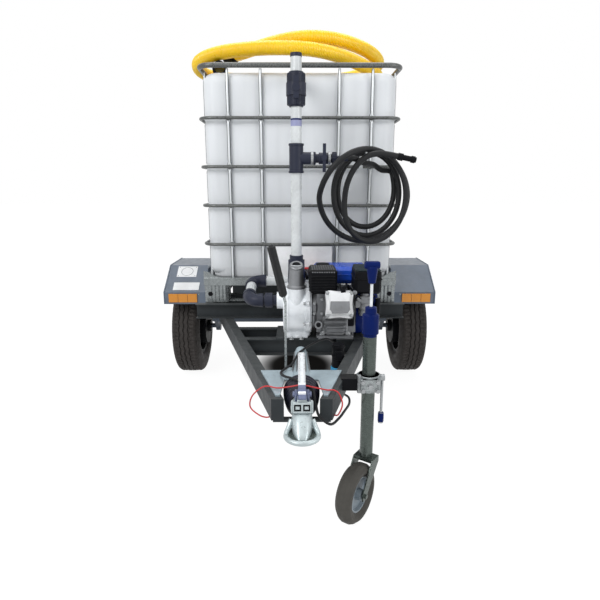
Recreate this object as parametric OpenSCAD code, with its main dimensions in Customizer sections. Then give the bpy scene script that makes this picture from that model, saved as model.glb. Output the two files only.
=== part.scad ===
// Road-towable water bowser: caged tank on a single-axle trailer with a pump set on the drawbar.
// Millimetres. X is across the trailer, Y runs from the coupling to the tail, Z is up from the ground.

/* [Tank] */
// Width across the cage
cage_w = 1000; // [940:1:1040]
// Length of the cage
cage_l = 1200; // [1120:1:1240]
// Height of the bottle
bottle_h = 1035; // [1000:1:1050]
// Wall of the bottle
bottle_wall = 3; // [2:0.5:6]
// Corner radius of the bottle
bottle_r = 90; // [70:1:120]
// Bore of the filling neck
neck_bore = 158; // [110:1:170]
// Diameter of the cage ring tube
ring_d = 16; // [12:1:20]
// Diameter of the cage upright tube
upright_d = 20; // [16:1:24]
// Diameter of the top rail tube
rail_d = 24; // [20:1:30]
// Wall of the cage tubes
cage_t = 1.5; // [1:0.5:3]
// Height of the pallet feet
foot_h = 90; // [75:1:110]
// Width of a pallet foot
foot_w = 126; // [100:1:150]
// Thickness of the tray sheet
tray_t = 3; // [2:0.5:5]
// Height of the tray rim
rim_h = 35; // [25:1:45]

/* [Chassis] */
// Height of the deck above the ground
deck_z = 610; // [600:1:640]
// Height of the chassis channels
beam_h = 75; // [65:1:85]
// Flange width of the chassis channels
beam_w = 38; // [30:1:45]
// Thickness of the chassis channels
beam_t = 4; // [3:0.5:7]
// Length of the front and rear cross members
cross_w = 1080; // [1060:1:1110]
// Distance from the tank front to the drawbar nose
drawbar_reach = 1030; // [1025:1:1040]
// Half width of the drawbar nose
nose_half = 100; // [96:1:106]
// Half width of the drawbar at the front cross member
root_half = 387; // [375:1:400]
// Height of the drawbar legs
leg_h = 75; // [70:1:80]
// Width of the drawbar legs
leg_w = 40; // [35:1:44]
// Wall of the drawbar legs
leg_t = 4; // [3:0.5:6]
// Thickness of the pump base plate
base_t = 6; // [4:0.5:10]

/* [Wheels] */
// Outer diameter of the road tyres
tyre_d = 596; // [570:1:610]
// Width of the road tyres
tyre_w = 168; // [150:1:176]
// Distance between the tyre centres
track = 1410; // [1390:1:1430]
// Distance of the axle behind the tank front
axle_y = 640; // [600:1:680]
// Diameter of the wheel rim
rim_d = 330; // [310:1:345]
// Length of the trailing arms
arm_l = 150; // [135:1:165]
// Slope of the trailing arms
arm_slope = 42; // [38:1:46]
// Diameter of the stub axles
stub_d = 30; // [25:1:36]
// Side of the axle beam
axle_s = 70; // [60:1:80]
// Width of the mudguards
guard_w = 252; // [240:1:262]
// Thickness of the mudguard sheet
guard_t = 3; // [2:0.5:4]
// Clearance of the mudguard above the tyre
guard_gap = 132; // [110:1:150]

/* [Pump set] */
// Distance of the pump shaft ahead of the tank front
pump_out = 340; // [336:1:346]
// Height of the shaft above the engine foot
shaft_h = 106; // [104:1:110]
// Height of the engine foot above the drawbar
mount_h = 25; // [20:1:30]
// Diameter of the pump casing
casing_d = 224; // [200:1:228]
// Length of the pump casing
casing_l = 124; // [110:1:130]
// Diameter of the shaft
shaft_d = 24; // [20:1:28]
// Diameter of the blower housing
blower_d = 230; // [215:1:236]
// Slope of the cylinder
cyl_slope = 18; // [14:1:22]
// Width of the rocker cover
rocker_w = 112; // [100:1:120]

/* [Pipework] */
// Outer diameter of the pipes
pipe_d = 48; // [44:1:50]
// Wall of the pipes
pipe_t = 2.5; // [2:0.5:4]
// Outer diameter of the fittings
fit_d = 62; // [58:1:68]
// Bend radius of the elbows
bend_r = 45; // [42:1:50]
// Height of the tee above the ground
tee_z = 1324; // [1310:1:1340]
// Height of the riser valve above the ground
valve_z = 1608; // [1590:1:1620]

/* [Drawbar gear] */
// Height of the coupling axis above the ground
coupling_z = 500; // [496:1:504]
// Diameter of the coupling shaft
slide_d = 60; // [54:1:62]
// Diameter of the overrun housing
housing_d = 100; // [92:1:104]
// Diameter of the bellows
bellows_d = 130; // [116:1:131]
// Diameter of the tow ball
ball_d = 50; // [48:0.1:51]
// Diameter of the jockey tube
jockey_d = 48; // [44:1:52]
// Diameter of the jockey wheel
jockey_wheel_d = 220; // [210:1:224]
// Width of the jockey wheel
jockey_wheel_w = 62; // [50:1:68]
// Trail of the jockey wheel
trail = 77; // [70:1:84]
// Swivel angle of the jockey wheel at rest
swivel = 235; // [200:1:300]

/* [Hoses] */
// Outer diameter of the suction hose
suction_d = 66; // [56:1:66]
// Bore of the suction hose
suction_bore = 52; // [40:1:52]
// Ribs along the suction hose
suction_ribs = 160; // [60:1:160]
// Outer diameter of the delivery hose
delivery_d = 26; // [18:1:26]
// Diameter of the trailer cable
cable_d = 9; // [6:0.5:9]
// Diameter of the breakaway cable
breakaway_d = 5; // [3:0.5:5]

/* [Hidden] */
$fn = 48;
eps = 0.01;
// Radial clearance of turning and sliding fits
fit = 0.05;
// Clearance between neighbouring pieces
gap = 0.3;
// Radial clearance of pipe sockets
socket_gap = 0.2;

// Chassis heights and places
beam_z = deck_z - beam_h;
leg_z = beam_z - leg_h;
leg_top = beam_z;
cross_y = -50;
tail_y = cage_l + 50;
leg_back = 250;
rail_out = cage_w / 2 - 5;
slope = (root_half - nose_half) / (drawbar_reach + cross_y);
lean = atan(slope);
function leg_out(y) = nose_half + slope * (y + drawbar_reach);
function leg_in(y) = leg_out(y) - leg_w / cos(lean);
bar1_y = -240;
bar2_y = -405;
bar1_h = 50;
bar_w = 36;
tie_t = 6;
tie_l = 28;

// Tank heights
floor_z = deck_z + foot_h + tray_t;
bottle_top = floor_z + bottle_h;
rail_z = bottle_top + 25;
strap_t = 4;
bottle_gap = 2;
inset = ring_d + gap + upright_d + bottle_gap;
bottle_w = cage_w - 2 * inset;
bottle_l = cage_l - 2 * inset;
tank_y = cage_l / 2;
neck_wall = 8;
neck_h = 28;
outlet_z = floor_z + 44;
outlet_bore = 50;
spigot_d = 80;
rings = [floor_z + 210, floor_z + 405, floor_z + 595, floor_z + 824];
ring_r = 70;
upright_out = 350;
upright_in = 190;
side_pitch = 240;
strap_out = 300;
strap_w = 30;

// Running gear
hub_z = tyre_d / 2;
wheel_x = track / 2;
pivot_y = axle_y - arm_l * cos(arm_slope);
pivot_z = hub_z + arm_l * sin(arm_slope);
beam_end = wheel_x - 181;
hanger_in = 57;
hanger_w = 20;
hanger_top = 30;
arm_t = 28;
guard_top = tyre_d + guard_gap;
guard_in = cross_w / 2 + 5;
guard_out = guard_in + guard_w;
guard_half = 340;
guard_run = 190;
skirt_half = 260;
guard_front = axle_y - guard_half;
guard_back = axle_y + guard_half;
guard_lip = guard_top - 201;
guard_knee = guard_top - 130;
reflector_h = 50;

// Pump set
pump_y = -pump_out;
foot_z = leg_top + mount_h;
shaft_z = foot_z + shaft_h;
casing_x = -76;
casing_end = casing_x + casing_l;
block_x = casing_end + 22;
block_l = 170;
block_end = block_x + block_l;
block_front = pump_y - 100;
block_back = pump_y + 90;
block_top = shaft_z + 89;
blower_l = 78;
blower_end = block_end + blower_l;
recoil_x = blower_end + 14;

// Pipework
riser_x = -18;
riser_y = pump_y + 2 * bend_r;
arch_d = 76;
arch_z = shaft_z + casing_d / 2 + 4;
riser_z = arch_z + 2 * bend_r;
socket_l = 22;
fill_z = bottle_top - pipe_d / 2 - 6;
fill_y = inset + 70;
valve_d = 86;
valve_l = 140;
branch_x = 48;
branch_l = 112;
branch_d = 46;
tail_l = 52;
suction_y = -115;
port_z = shaft_z + 35;
port_l = 30;
elbow_x = -235;
port_run = norm([suction_y - pump_y, outlet_z - port_z]);
port_tilt = atan2(outlet_z - port_z, suction_y - pump_y);

// Drawbar gear
nose_y = -drawbar_reach;
housing_back = nose_y + 440;
housing_front = nose_y + 150;
bellows_l = 120;
head_y = housing_front - bellows_l - gap;
head_back = nose_y - 60;
ball_y = nose_y - 100;
ball_z = coupling_z - 12;
lip_r = 54;
lever_y = nose_y - 48;
lever_z = coupling_z + 75;
brake_y = nose_y + 280;
brake_z = coupling_z + 20;
brake_x = -housing_d / 2 - 8;
plate_t = 6;
wing_back = nose_y + 240;
wing_front = nose_y + 20;
wing_edge = 20;
wing_in = 72;
jockey_out = 89.3;
jockey_y = nose_y + 180;
jockey_x = leg_out(jockey_y) + jockey_out;
jockey_top = 692;
jockey_low = 240;
crown_z = jockey_wheel_d + 5.7;
clamp_z = leg_top - 45;
clamp_h = 60;
clamp_d = jockey_d + 26;
plug_in = 30.5;
plug_y = nose_y + 424;
plug_x = leg_in(plug_y) - plug_in;
plug_z = 485;
gland_x = 150;
gland_z = leg_top - 4;

// Overall placing: the origin lies under the middle of the trailer
lamp_d = 34;
nose_tip = ball_y - lip_r;
tail_tip = tail_y + lamp_d;
board_h = 190;
shift_y = -(nose_tip + tail_tip) / 2;

// Shared shapes
module place() translate([0, shift_y, 0]) children();
module both() {
  children();
  mirror([1, 0, 0]) children();
}
module rod_x(x, y, z, l, d) translate([x, y, z]) rotate([0, 90, 0]) cylinder(h = l, d = d);
module rod_y(x, y, z, l, d) translate([x, y, z]) rotate([-90, 0, 0]) cylinder(h = l, d = d);
module rod_z(x, y, z, l, d) translate([x, y, z]) cylinder(h = l, d = d);
module box(x0, x1, y0, y1, z0, z1) translate([x0, y0, z0]) cube([x1 - x0, y1 - y0, z1 - z0]);
module pane(w, l, r) {
  square([w - 2 * r, l], center = true);
  square([w, l - 2 * r], center = true);
  for (x = [-1, 1])
    for (y = [-1, 1])
      translate([x * (w / 2 - r), y * (l / 2 - r)]) circle(r = r);
}
// Channel along X from x0 to x1, open toward -Y, its flange edges at y
module channel_x(x0, x1, y, w, z, h) {
  difference() {
    box(x0, x1, y, y + w, z, z + h);
    box(x0 - 1, x1 + 1, y - 1, y + w - beam_t, z + beam_t, z + h - beam_t);
  }
}
// Quarter bend that starts upward at the origin and ends along +Y
module quarter(r, d) {
  translate([0, r, 0]) rotate([90, 0, 90]) rotate([0, 0, 90])
    rotate_extrude(angle = 90) translate([r, 0]) circle(d = d);
}
module elbow(r, l) {
  bore = pipe_d - 2 * pipe_t;
  difference() {
    union() {
      translate([0, 0, -l]) cylinder(h = l, d = fit_d);
      quarter(r, fit_d - 4);
      translate([0, r, r]) rotate([-90, 0, 0]) cylinder(h = l, d = fit_d);
    }
    translate([0, 0, -l - 1]) cylinder(h = l + 1, d = pipe_d + 2 * socket_gap);
    translate([0, r, r]) rotate([-90, 0, 0]) cylinder(h = l + 1, d = pipe_d + 2 * socket_gap);
    quarter(r, bore);
  }
}
module pipe(l) {
  difference() {
    cylinder(h = l, d = pipe_d);
    translate([0, 0, -1]) cylinder(h = l + 2, d = pipe_d - 2 * pipe_t);
  }
}

// Chassis
module side_rails() color("dimgray") both() difference() {
  box(rail_out - beam_w, rail_out, cross_y + beam_w, tail_y - beam_w, beam_z, deck_z);
  box(rail_out - beam_w - 1, rail_out - beam_t, cross_y, tail_y, beam_z + beam_t, deck_z - beam_t);
}

module between_legs() linear_extrude(deck_z) polygon([
  [leg_in(-drawbar_reach), -drawbar_reach], [leg_in(leg_back), leg_back],
  [-leg_in(leg_back), leg_back], [-leg_in(-drawbar_reach), -drawbar_reach]
]);

module cross_members() color("dimgray") {
  channel_x(-cross_w / 2, cross_w / 2, cross_y, beam_w, beam_z, beam_h);
  channel_x(-cross_w / 2, cross_w / 2, tail_y - beam_w, beam_w, beam_z, beam_h);
  // Upright lamp board that hangs from the rear channel
  box(20 - cross_w / 2, cross_w / 2 - 20, tail_y - beam_t, tail_y, beam_z - board_h, beam_z + beam_t);
  for (y = [leg_back - beam_w, axle_y + 160])
    channel_x(beam_t - rail_out, rail_out - beam_t, y, beam_w, beam_z + beam_t, beam_h - 2 * beam_t);
  both() for (y = [axle_y - skirt_half, axle_y + skirt_half - beam_w])
    box(rail_out, guard_in, y, y + beam_w, beam_z, beam_z + 50);
  intersection() {
    between_legs();
    union() {
      channel_x(-root_half, root_half, bar1_y, bar_w, leg_top - bar1_h, bar1_h);
      channel_x(-root_half, root_half, bar2_y, bar_w, leg_z, leg_h);
    }
  }
  box(5 - nose_half, nose_half - 5, -drawbar_reach, -drawbar_reach + tie_l, leg_z - tie_t, leg_z);
  box(-110, block_end + 40, bar2_y, bar1_y + bar_w, leg_top + gap, leg_top + base_t);
}

module leg_outline(t) polygon([
  [leg_out(-drawbar_reach) - t / cos(lean), -drawbar_reach],
  [leg_in(-drawbar_reach) + t / cos(lean), -drawbar_reach],
  [leg_in(leg_back) + t / cos(lean), leg_back],
  [leg_out(leg_back) - t / cos(lean), leg_back]
]);
module leg_solid() translate([0, 0, leg_z]) linear_extrude(leg_h) leg_outline(0);
module drawbar_legs() color("dimgray") both() difference() {
  leg_solid();
  translate([0, leg_t, leg_z + leg_t]) linear_extrude(leg_h - 2 * leg_t) leg_outline(leg_t);
}

module axle_beam() color("slategray") {
  post_x = beam_end - hanger_in;
  shoe_x = rail_out - 28;
  difference() {
    union() {
      box(-beam_end, beam_end, pivot_y - axle_s / 2, pivot_y + axle_s / 2,
          pivot_z - axle_s / 2, pivot_z + axle_s / 2);
      both() {
        box(post_x, post_x + hanger_w, pivot_y - axle_s / 2, pivot_y + axle_s / 2, pivot_z, beam_z);
        box(min(post_x, shoe_x), max(post_x, shoe_x) + hanger_w, pivot_y - axle_s / 2, pivot_y + axle_s / 2,
            beam_z - hanger_top, beam_z);
      }
      box(-15, 15, pivot_y - 20, pivot_y, pivot_z, leg_z - 4);
    }
    rod_x(-beam_end - 1, pivot_y, pivot_z, 2 * beam_end + 2, axle_s - 14);
  }
  rod_y(0, housing_back - 12, leg_z - 18, pivot_y - 20 - gap - housing_back + 12, 10);
}

module guard_outline(t) polygon([
  [guard_front + t, guard_lip - eps], [guard_front + t, guard_knee - t / 3],
  [guard_front + guard_run + t / 3, guard_top - t], [guard_back - guard_run - t / 3, guard_top - t],
  [guard_back - t, guard_knee - t / 3], [guard_back - t, guard_lip - eps]
]);
module guard_shell(x, w, t) translate([x, 0, 0]) rotate([90, 0, 90]) linear_extrude(w) difference() {
  guard_outline(0);
  translate([0, -2 * eps]) guard_outline(t);
}
module mudguards() color("slategray") both() {
  guard_shell(guard_in, guard_w, guard_t);
  guard_shell(guard_out - guard_t, guard_t, 28);
  box(guard_in, guard_in + guard_t, axle_y - skirt_half, axle_y + skirt_half,
      beam_z, guard_top - guard_t + eps);
}

module front_reflectors() color("orange") both() for (i = [-1, 0, 1])
  box(guard_in + 140 + 56 * i - 27, guard_in + 140 + 56 * i + 27, guard_front - 7, guard_front,
      guard_lip + 12, guard_lip + 12 + reflector_h);

module rear_lamps() color("firebrick") both()
  box(cross_w / 2 - 170, cross_w / 2 - 50, tail_y, tail_y + lamp_d, beam_z + 2, beam_z + 82);

// A plate on the front slope of the left mudguard, s along the slope from its foot
module slope_plate(x, s, w, l) {
  a = atan2(guard_top - guard_knee, guard_run);
  translate([-x, guard_front, guard_knee]) rotate([a, 0, 0])
    box(-w / 2, w / 2, s - l / 2, s + l / 2, 0.1, 2.1);
}
module blank_plates() color("whitesmoke") {
  difference() {
    box(-165, 165, -2, 0, floor_z + 22, rings[0] - ring_d / 2 - 2);
    box(-spigot_d / 2 - 10, spigot_d / 2 + 10, -3, 1, floor_z, outlet_z + spigot_d / 2 + 8);
  }
  slope_plate(guard_in + 138, 172, 118, 90);
  slope_plate(guard_in + 126, 48, 152, 62);
  box(-220, 220, tail_y, tail_y + 2, beam_z - 20, beam_z + 90);
}

// Tank
module pallet_base() color("silver") {
  difference() {
    box(-cage_w / 2, cage_w / 2, 0, cage_l, deck_z + foot_h, floor_z + rim_h);
    box(-cage_w / 2 + tray_t, cage_w / 2 - tray_t, tray_t, cage_l - tray_t, floor_z, floor_z + rim_h + 1);
    box(-spigot_d / 2 - 6, spigot_d / 2 + 6, -1, tray_t + 1, floor_z, floor_z + rim_h + 1);
  }
  for (y = [24, cage_l - 64])
    box(foot_w - cage_w / 2, cage_w / 2 - foot_w, y, y + 40, deck_z, deck_z + 8);
}

module foot() difference() {
  linear_extrude(foot_h) pane(foot_w, foot_w, 24);
  translate([0, 0, -1]) linear_extrude(foot_h - 2) pane(foot_w - 6, foot_w - 6, 21);
  rod_y(-foot_w / 4, -foot_w, foot_h / 2, foot_w, 18);
}
module pallet_feet() color("silver") for (x = [-1, 1]) for (y = [foot_w / 2, tank_y, cage_l - foot_w / 2])
  translate([x * (cage_w - foot_w) / 2, y, deck_z]) mirror([x > 0 ? 1 : 0, 0, 0]) foot();

module layer(z, w, l, r, t) translate([0, 0, z]) linear_extrude(t) pane(w, l, r);
module bottle_form(grow) {
  w = bottle_w + 2 * grow;
  l = bottle_l + 2 * grow;
  r = bottle_r + grow;
  low = floor_z - grow;
  high = bottle_top + grow;
  layer(low + 40 - eps, w, l, r, high - low - 100 + 2 * eps);
  hull() {
    layer(low, w - 60, l - 60, r - 30, eps, $fn = 32);
    layer(low + 40 - eps, w, l, r, eps, $fn = 32);
  }
  hull() {
    layer(high - 60, w, l, r, eps, $fn = 32);
    layer(high - 20, w - 28, l - 28, r - 14, eps, $fn = 32);
  }
  hull() {
    layer(high - 20, w - 28, l - 28, r - 14, eps, $fn = 32);
    layer(high - eps, w - 100, l - 100, r - 30, eps, $fn = 32);
  }
}
module tank_bottle() color("white") translate([0, tank_y, 0]) difference() {
  union() {
    bottle_form(0);
    rod_z(0, 0, bottle_top - bottle_wall, neck_h + bottle_wall, neck_bore + 2 * neck_wall);
    rod_y(0, tray_t + 1 - tank_y, outlet_z, inset + 20, spigot_d);
  }
  bottle_form(-bottle_wall);
  rod_z(0, 0, bottle_top - 20, neck_h + 21, neck_bore);
  rod_y(0, -tank_y, outlet_z, inset + 60, outlet_bore);
  rod_y(riser_x, -tank_y, fill_z, inset + 90, pipe_d + 2 * socket_gap);
}

module tank_lid() color("black") translate([0, tank_y, bottle_top + 2]) difference() {
  cylinder(h = neck_h + 10, d = neck_bore + 2 * neck_wall + 22);
  translate([0, 0, -1]) cylinder(h = neck_h - 1 + gap, d = neck_bore + 2 * neck_wall + 2);
}

// One side of a ring with its right-hand corner, in the ring's own plane, half sizes hx and hy
module ring_side(hx, hy, r, d) {
  translate([r - hx + gap / 3, -hy, 0]) rotate([0, 90, 0]) cylinder(h = 2 * (hx - r) - gap / 3, d = d);
  translate([hx - r, r - hy, 0]) rotate([0, 0, -90])
    rotate_extrude(angle = 90) translate([r, 0]) circle(d = d);
}
module ring(d, t) {
  hx = cage_w / 2 - d / 2;
  hy = cage_l / 2 - d / 2;
  for (k = [0, 1]) rotate([0, 0, 180 * k]) {
    difference() {
      ring_side(hx, hy, ring_r, d);
      ring_side(hx, hy, ring_r, d - 2 * t);
    }
    rotate([0, 0, 90]) difference() {
      ring_side(hy, hx, ring_r, d);
      ring_side(hy, hx, ring_r, d - 2 * t);
    }
  }
}
module cage_rings() color("silver") {
  for (z = rings) translate([0, tank_y, z]) ring(ring_d, cage_t);
  translate([0, tank_y, rail_z]) ring(rail_d, cage_t);
  for (y = [tank_y - strap_out - strap_w / 2, tank_y + strap_out - strap_w / 2]) {
    strap_x = cage_w / 2 - rail_d - gap;
    box(-strap_x, strap_x, y, y + strap_w, bottle_top, bottle_top + strap_t);
    both() box(strap_x - strap_t, strap_x, y, y + strap_w, bottle_top, rail_z + 8);
  }
}

module upright(x, y) difference() {
  rod_z(x, y, floor_z, rail_z - rail_d / 2 - floor_z, upright_d);
  rod_z(x, y, floor_z + 2, rail_z - rail_d / 2 - floor_z - 4, upright_d - 2 * cage_t);
}
hook_x = 300;
hook_z = 1338.5;
hook_l = 200;
module hose_hook() {
  box(hook_x - 10, hook_x + 10, -6 - gap, -gap, rings[2] - 10, hook_z + 6);
  rod_y(hook_x, -hook_l, hook_z, hook_l - 5 - gap, 12);
  rod_z(hook_x, 6 - hook_l, hook_z, 22, 12);
}
module cage_uprights() color("silver") {
  edge = ring_d + gap + upright_d / 2;
  for (x = [-upright_out, -upright_in, upright_in, upright_out])
    for (y = [edge, cage_l - edge]) upright(x, y);
  for (i = [-2 : 2]) both() upright(cage_w / 2 - edge, tank_y + i * side_pitch);
  hose_hook();
}

module outlet_valve() color("dimgray") difference() {
  union() {
    rod_y(0, -75, outlet_z, 75 + tray_t + 1, fit_d);
    rod_y(0, -52, outlet_z, 40, spigot_d - 4);
    rod_z(0, -32, outlet_z, spigot_d / 2 + 4, 30);
    rod_y(0, -16, outlet_z, 16 + tray_t + 1, spigot_d);
  }
  rod_y(0, -80, outlet_z, 110, outlet_bore);
  rod_z(0, -32, outlet_z + spigot_d / 2 - 10, 20, 12 + 2 * fit);
}
module outlet_lever() color("firebrick") {
  rod_z(0, -32, outlet_z + spigot_d / 2 - 8, 12 + gap, 12);
  rod_z(0, -32, outlet_z + spigot_d / 2 + 4 + gap, 12, 30);
  box(0, 105, -42, -22, outlet_z + spigot_d / 2 + 6, outlet_z + spigot_d / 2 + 14);
}

// Pipework
arm_run = port_run - 2 * bend_r;
outlet_bend_r = -suction_y - 75 - gap;
module suction_frame() translate([0, suction_y, outlet_z]) rotate([port_tilt, 0, 0]) children();
stub_top = fill_z + pipe_d / 2 + 4;
cap_h = 15;
// Top of the riser with its branch under the top rail into the tank, and a margin m at the ends
module fill_pipe(d, m) {
  low = valve_z + valve_l / 2 - socket_l;
  rod_z(riser_x, riser_y, low - m, stub_top - low + 2 * m, d);
  rod_y(riser_x, riser_y, fill_z, fill_y - riser_y + m, d);
}
module pvc_pipes() color("white") {
  translate([riser_x, riser_y, riser_z]) pipe(tee_z - 58 + socket_l - riser_z);
  translate([riser_x, riser_y, tee_z + 58 - socket_l])
    pipe(valve_z - valve_l / 2 - tee_z - 58 + 2 * socket_l);
  difference() {
    fill_pipe(pipe_d, 0);
    fill_pipe(pipe_d - 2 * pipe_t, 1);
  }
  suction_frame() {
    translate([elbow_x + bend_r, 0, 0]) rotate([0, 90, 0]) pipe(-outlet_bend_r - gap - elbow_x - bend_r);
    translate([elbow_x, -bend_r, 0]) rotate([90, 0, 0]) pipe(arm_run);
  }
}
module arch() {
  quarter(bend_r, arch_d);
  translate([0, 2 * bend_r, 2 * bend_r]) rotate([180, 0, 0]) quarter(bend_r, arch_d);
}
module pvc_fittings() color([0.2, 0.21, 0.23]) {
  // Arched discharge bend and riser socket
  translate([riser_x, pump_y, arch_z]) difference() {
    union() {
      arch();
      translate([0, 2 * bend_r, 2 * bend_r - 4]) cylinder(h = socket_l + 4, d = fit_d);
    }
    translate([0, 2 * bend_r, 2 * bend_r]) cylinder(h = socket_l + 5, d = pipe_d + 2 * socket_gap);
    translate([0, 0, -5]) cylinder(h = 20, d = pipe_d);
  }
  // Cap of the riser
  rod_z(riser_x, riser_y, stub_top + gap, cap_h, pipe_d + 2);
  rod_z(riser_x, riser_y, stub_top - socket_l, socket_l + 1, pipe_d - 2 * pipe_t - 2 * socket_gap);
  // Tee with the reducer of the branch
  translate([riser_x, riser_y, tee_z]) difference() {
    union() {
      translate([0, 0, -58]) cylinder(h = 116, d = fit_d);
      rotate([0, 90, 0]) cylinder(h = branch_x - riser_x - gap, d = fit_d - 8);
    }
    for (s = [-1, 1]) translate([0, 0, s * (58 - socket_l / 2 + 0.5)])
      cylinder(h = socket_l + 1, d = pipe_d + 2 * socket_gap, center = true);
    cylinder(h = 90, d = pipe_d - 2 * pipe_t, center = true);
    rotate([0, 90, 0]) cylinder(h = 100, d = branch_d - 16);
  }
  // Outlet bend and the suction line
  translate([0, -75 - gap, outlet_z]) rotate([90, 0, 0]) rotate([0, 0, 90]) difference() {
    quarter(outlet_bend_r, fit_d - 4);
    quarter(outlet_bend_r, outlet_bore - 6);
  }
  suction_frame() {
    translate([elbow_x + bend_r, 0, 0]) rotate([0, -90, 0]) rotate([0, 0, 180]) elbow(bend_r, socket_l);
    translate([elbow_x, -port_run + bend_r, 0]) rotate([90, 0, 0]) rotate([0, 0, -90])
      elbow(bend_r, socket_l);
    translate([elbow_x + bend_r + socket_l + gap, -port_run, 0]) rotate([0, 90, 0]) difference() {
      union() {
        cylinder(h = casing_x - port_l - elbow_x - bend_r - socket_l - 2 * gap, d = pipe_d);
        translate([0, 0, 8]) cylinder(h = 34, d = fit_d + 6);
      }
      translate([0, 0, -1]) cylinder(h = 200, d = pipe_d - 2 * pipe_t);
    }
  }
}

module valve_bodies() color([0.13, 0.13, 0.14]) {
  translate([riser_x, riser_y, valve_z]) difference() {
    union() {
      translate([0, 0, -valve_l / 2]) cylinder(h = valve_l, d = fit_d);
      for (s = [-1, 1]) translate([0, 0, s * (valve_l / 2 - 26)])
        cylinder(h = 40, d = valve_d - 10, center = true);
      cylinder(h = 52, d = valve_d, center = true);
      rotate([90, 0, 0]) cylinder(h = valve_d / 2 + 8, d = 34);
    }
    for (s = [-1, 1]) translate([0, 0, s * (valve_l / 2 - socket_l / 2 + 0.5)])
      cylinder(h = socket_l + 1, d = pipe_d + 2 * socket_gap, center = true);
    cylinder(h = valve_l, d = pipe_d - 2 * pipe_t, center = true);
    translate([0, -valve_d / 2 + 2, 0]) rotate([90, 0, 0]) cylinder(h = 20, d = 14 + 2 * fit);
  }
  translate([branch_x, riser_y, tee_z]) difference() {
    union() {
      rotate([0, 90, 0]) cylinder(h = branch_l, d = branch_d - 8);
      for (x = [0, branch_l - 20]) translate([x, 0, 0]) rotate([0, 90, 0]) cylinder(h = 20, d = branch_d + 6);
      translate([branch_l / 2 - 22, 0, 0]) rotate([0, 90, 0]) cylinder(h = 44, d = branch_d + 4);
      translate([branch_l / 2, 0, 0]) rotate([90, 0, 0]) cylinder(h = branch_d / 2 + 12, d = 22);
      translate([branch_l, 0, 0]) rotate([0, 90, 0]) cylinder(h = tail_l, d = delivery_d - 2);
    }
    translate([-1, 0, 0]) rotate([0, 90, 0]) cylinder(h = branch_l + tail_l + 2, d = delivery_d - 8);
    translate([branch_l / 2, -branch_d / 2, 0]) rotate([90, 0, 0]) cylinder(h = 20, d = 10 + 2 * fit);
  }
}
module riser_handle() color([0.13, 0.13, 0.14]) translate([riser_x, riser_y - valve_d / 2 - 8, valve_z]) {
  translate([0, 9, 0]) rotate([90, 0, 0]) cylinder(h = 9 + gap, d = 14);
  translate([0, -gap, 0]) rotate([90, 0, 0]) cylinder(h = 16, d = 34);
  box(-12, 12, -14 - gap, -3 - gap, -44, 44);
}
module branch_handle() color([0.13, 0.13, 0.14])
  translate([branch_x + branch_l / 2, riser_y - branch_d / 2 - 12, tee_z]) {
    translate([0, 10, 0]) rotate([90, 0, 0]) cylinder(h = 10 + gap, d = 10);
    translate([0, -gap, 0]) rotate([90, 0, 0]) cylinder(h = 14, d = 24);
    box(-7, 7, -13 - gap, -4 - gap, -60, 60);
  }

// Pump set
filler_y = pump_y - 66;
module pump_casing() color("silver") difference() {
  union() {
    rod_x(casing_x, pump_y, shaft_z, casing_l, casing_d);
    rod_x(casing_x + 14, pump_y, shaft_z, 10, casing_d + 6);
    rod_x(casing_x - port_l, pump_y, port_z, port_l + 20, 76);
    rod_z(riser_x, pump_y, shaft_z, arch_z - shaft_z, 82);
    rod_z(riser_x, filler_y, shaft_z, casing_d / 2 + 96, 54);
    rod_z(riser_x, filler_y, shaft_z, casing_d / 2 - 6, 80);
    box(casing_x + 8, casing_end - 16, pump_y - 60, pump_y + 100, leg_top + base_t, shaft_z);
  }
  rod_x(casing_x + 12, pump_y, shaft_z, casing_l - 24, casing_d - 30);
  rod_x(casing_end - 20, pump_y, shaft_z, 30, shaft_d + 2 * fit);
  rod_x(casing_x - port_l - 1, pump_y, port_z, port_l + 30, outlet_bore);
  rod_z(riser_x, pump_y, shaft_z, casing_d, pipe_d);
  rod_z(riser_x, filler_y, shaft_z, casing_d, 34);
}
module pump_rotor() color("gray") {
  rod_x(casing_x + 30, pump_y, shaft_z, blower_end - 20 - casing_x - 30, shaft_d);
  rod_x(casing_x + 34, pump_y, shaft_z, 12, casing_d - 60);
  rod_x(casing_x + 46, pump_y, shaft_z, 22, 90);
  rod_x(block_end + 20, pump_y, shaft_z, 26, blower_d - 50);
}
module engine_crankcase() color("gainsboro") difference() {
  union() {
    box(block_x, block_end, block_front, block_back, foot_z + 20, block_top);
    rod_x(casing_end, pump_y, shaft_z, block_x - casing_end, casing_d - 34);
    box(block_x + 10, block_end - 6, block_front + 20, block_back + 4, leg_top + base_t, foot_z + 20);
  }
  rod_x(casing_end - 1, pump_y, shaft_z, block_end - casing_end + 2, shaft_d + 2 * fit);
}
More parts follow.
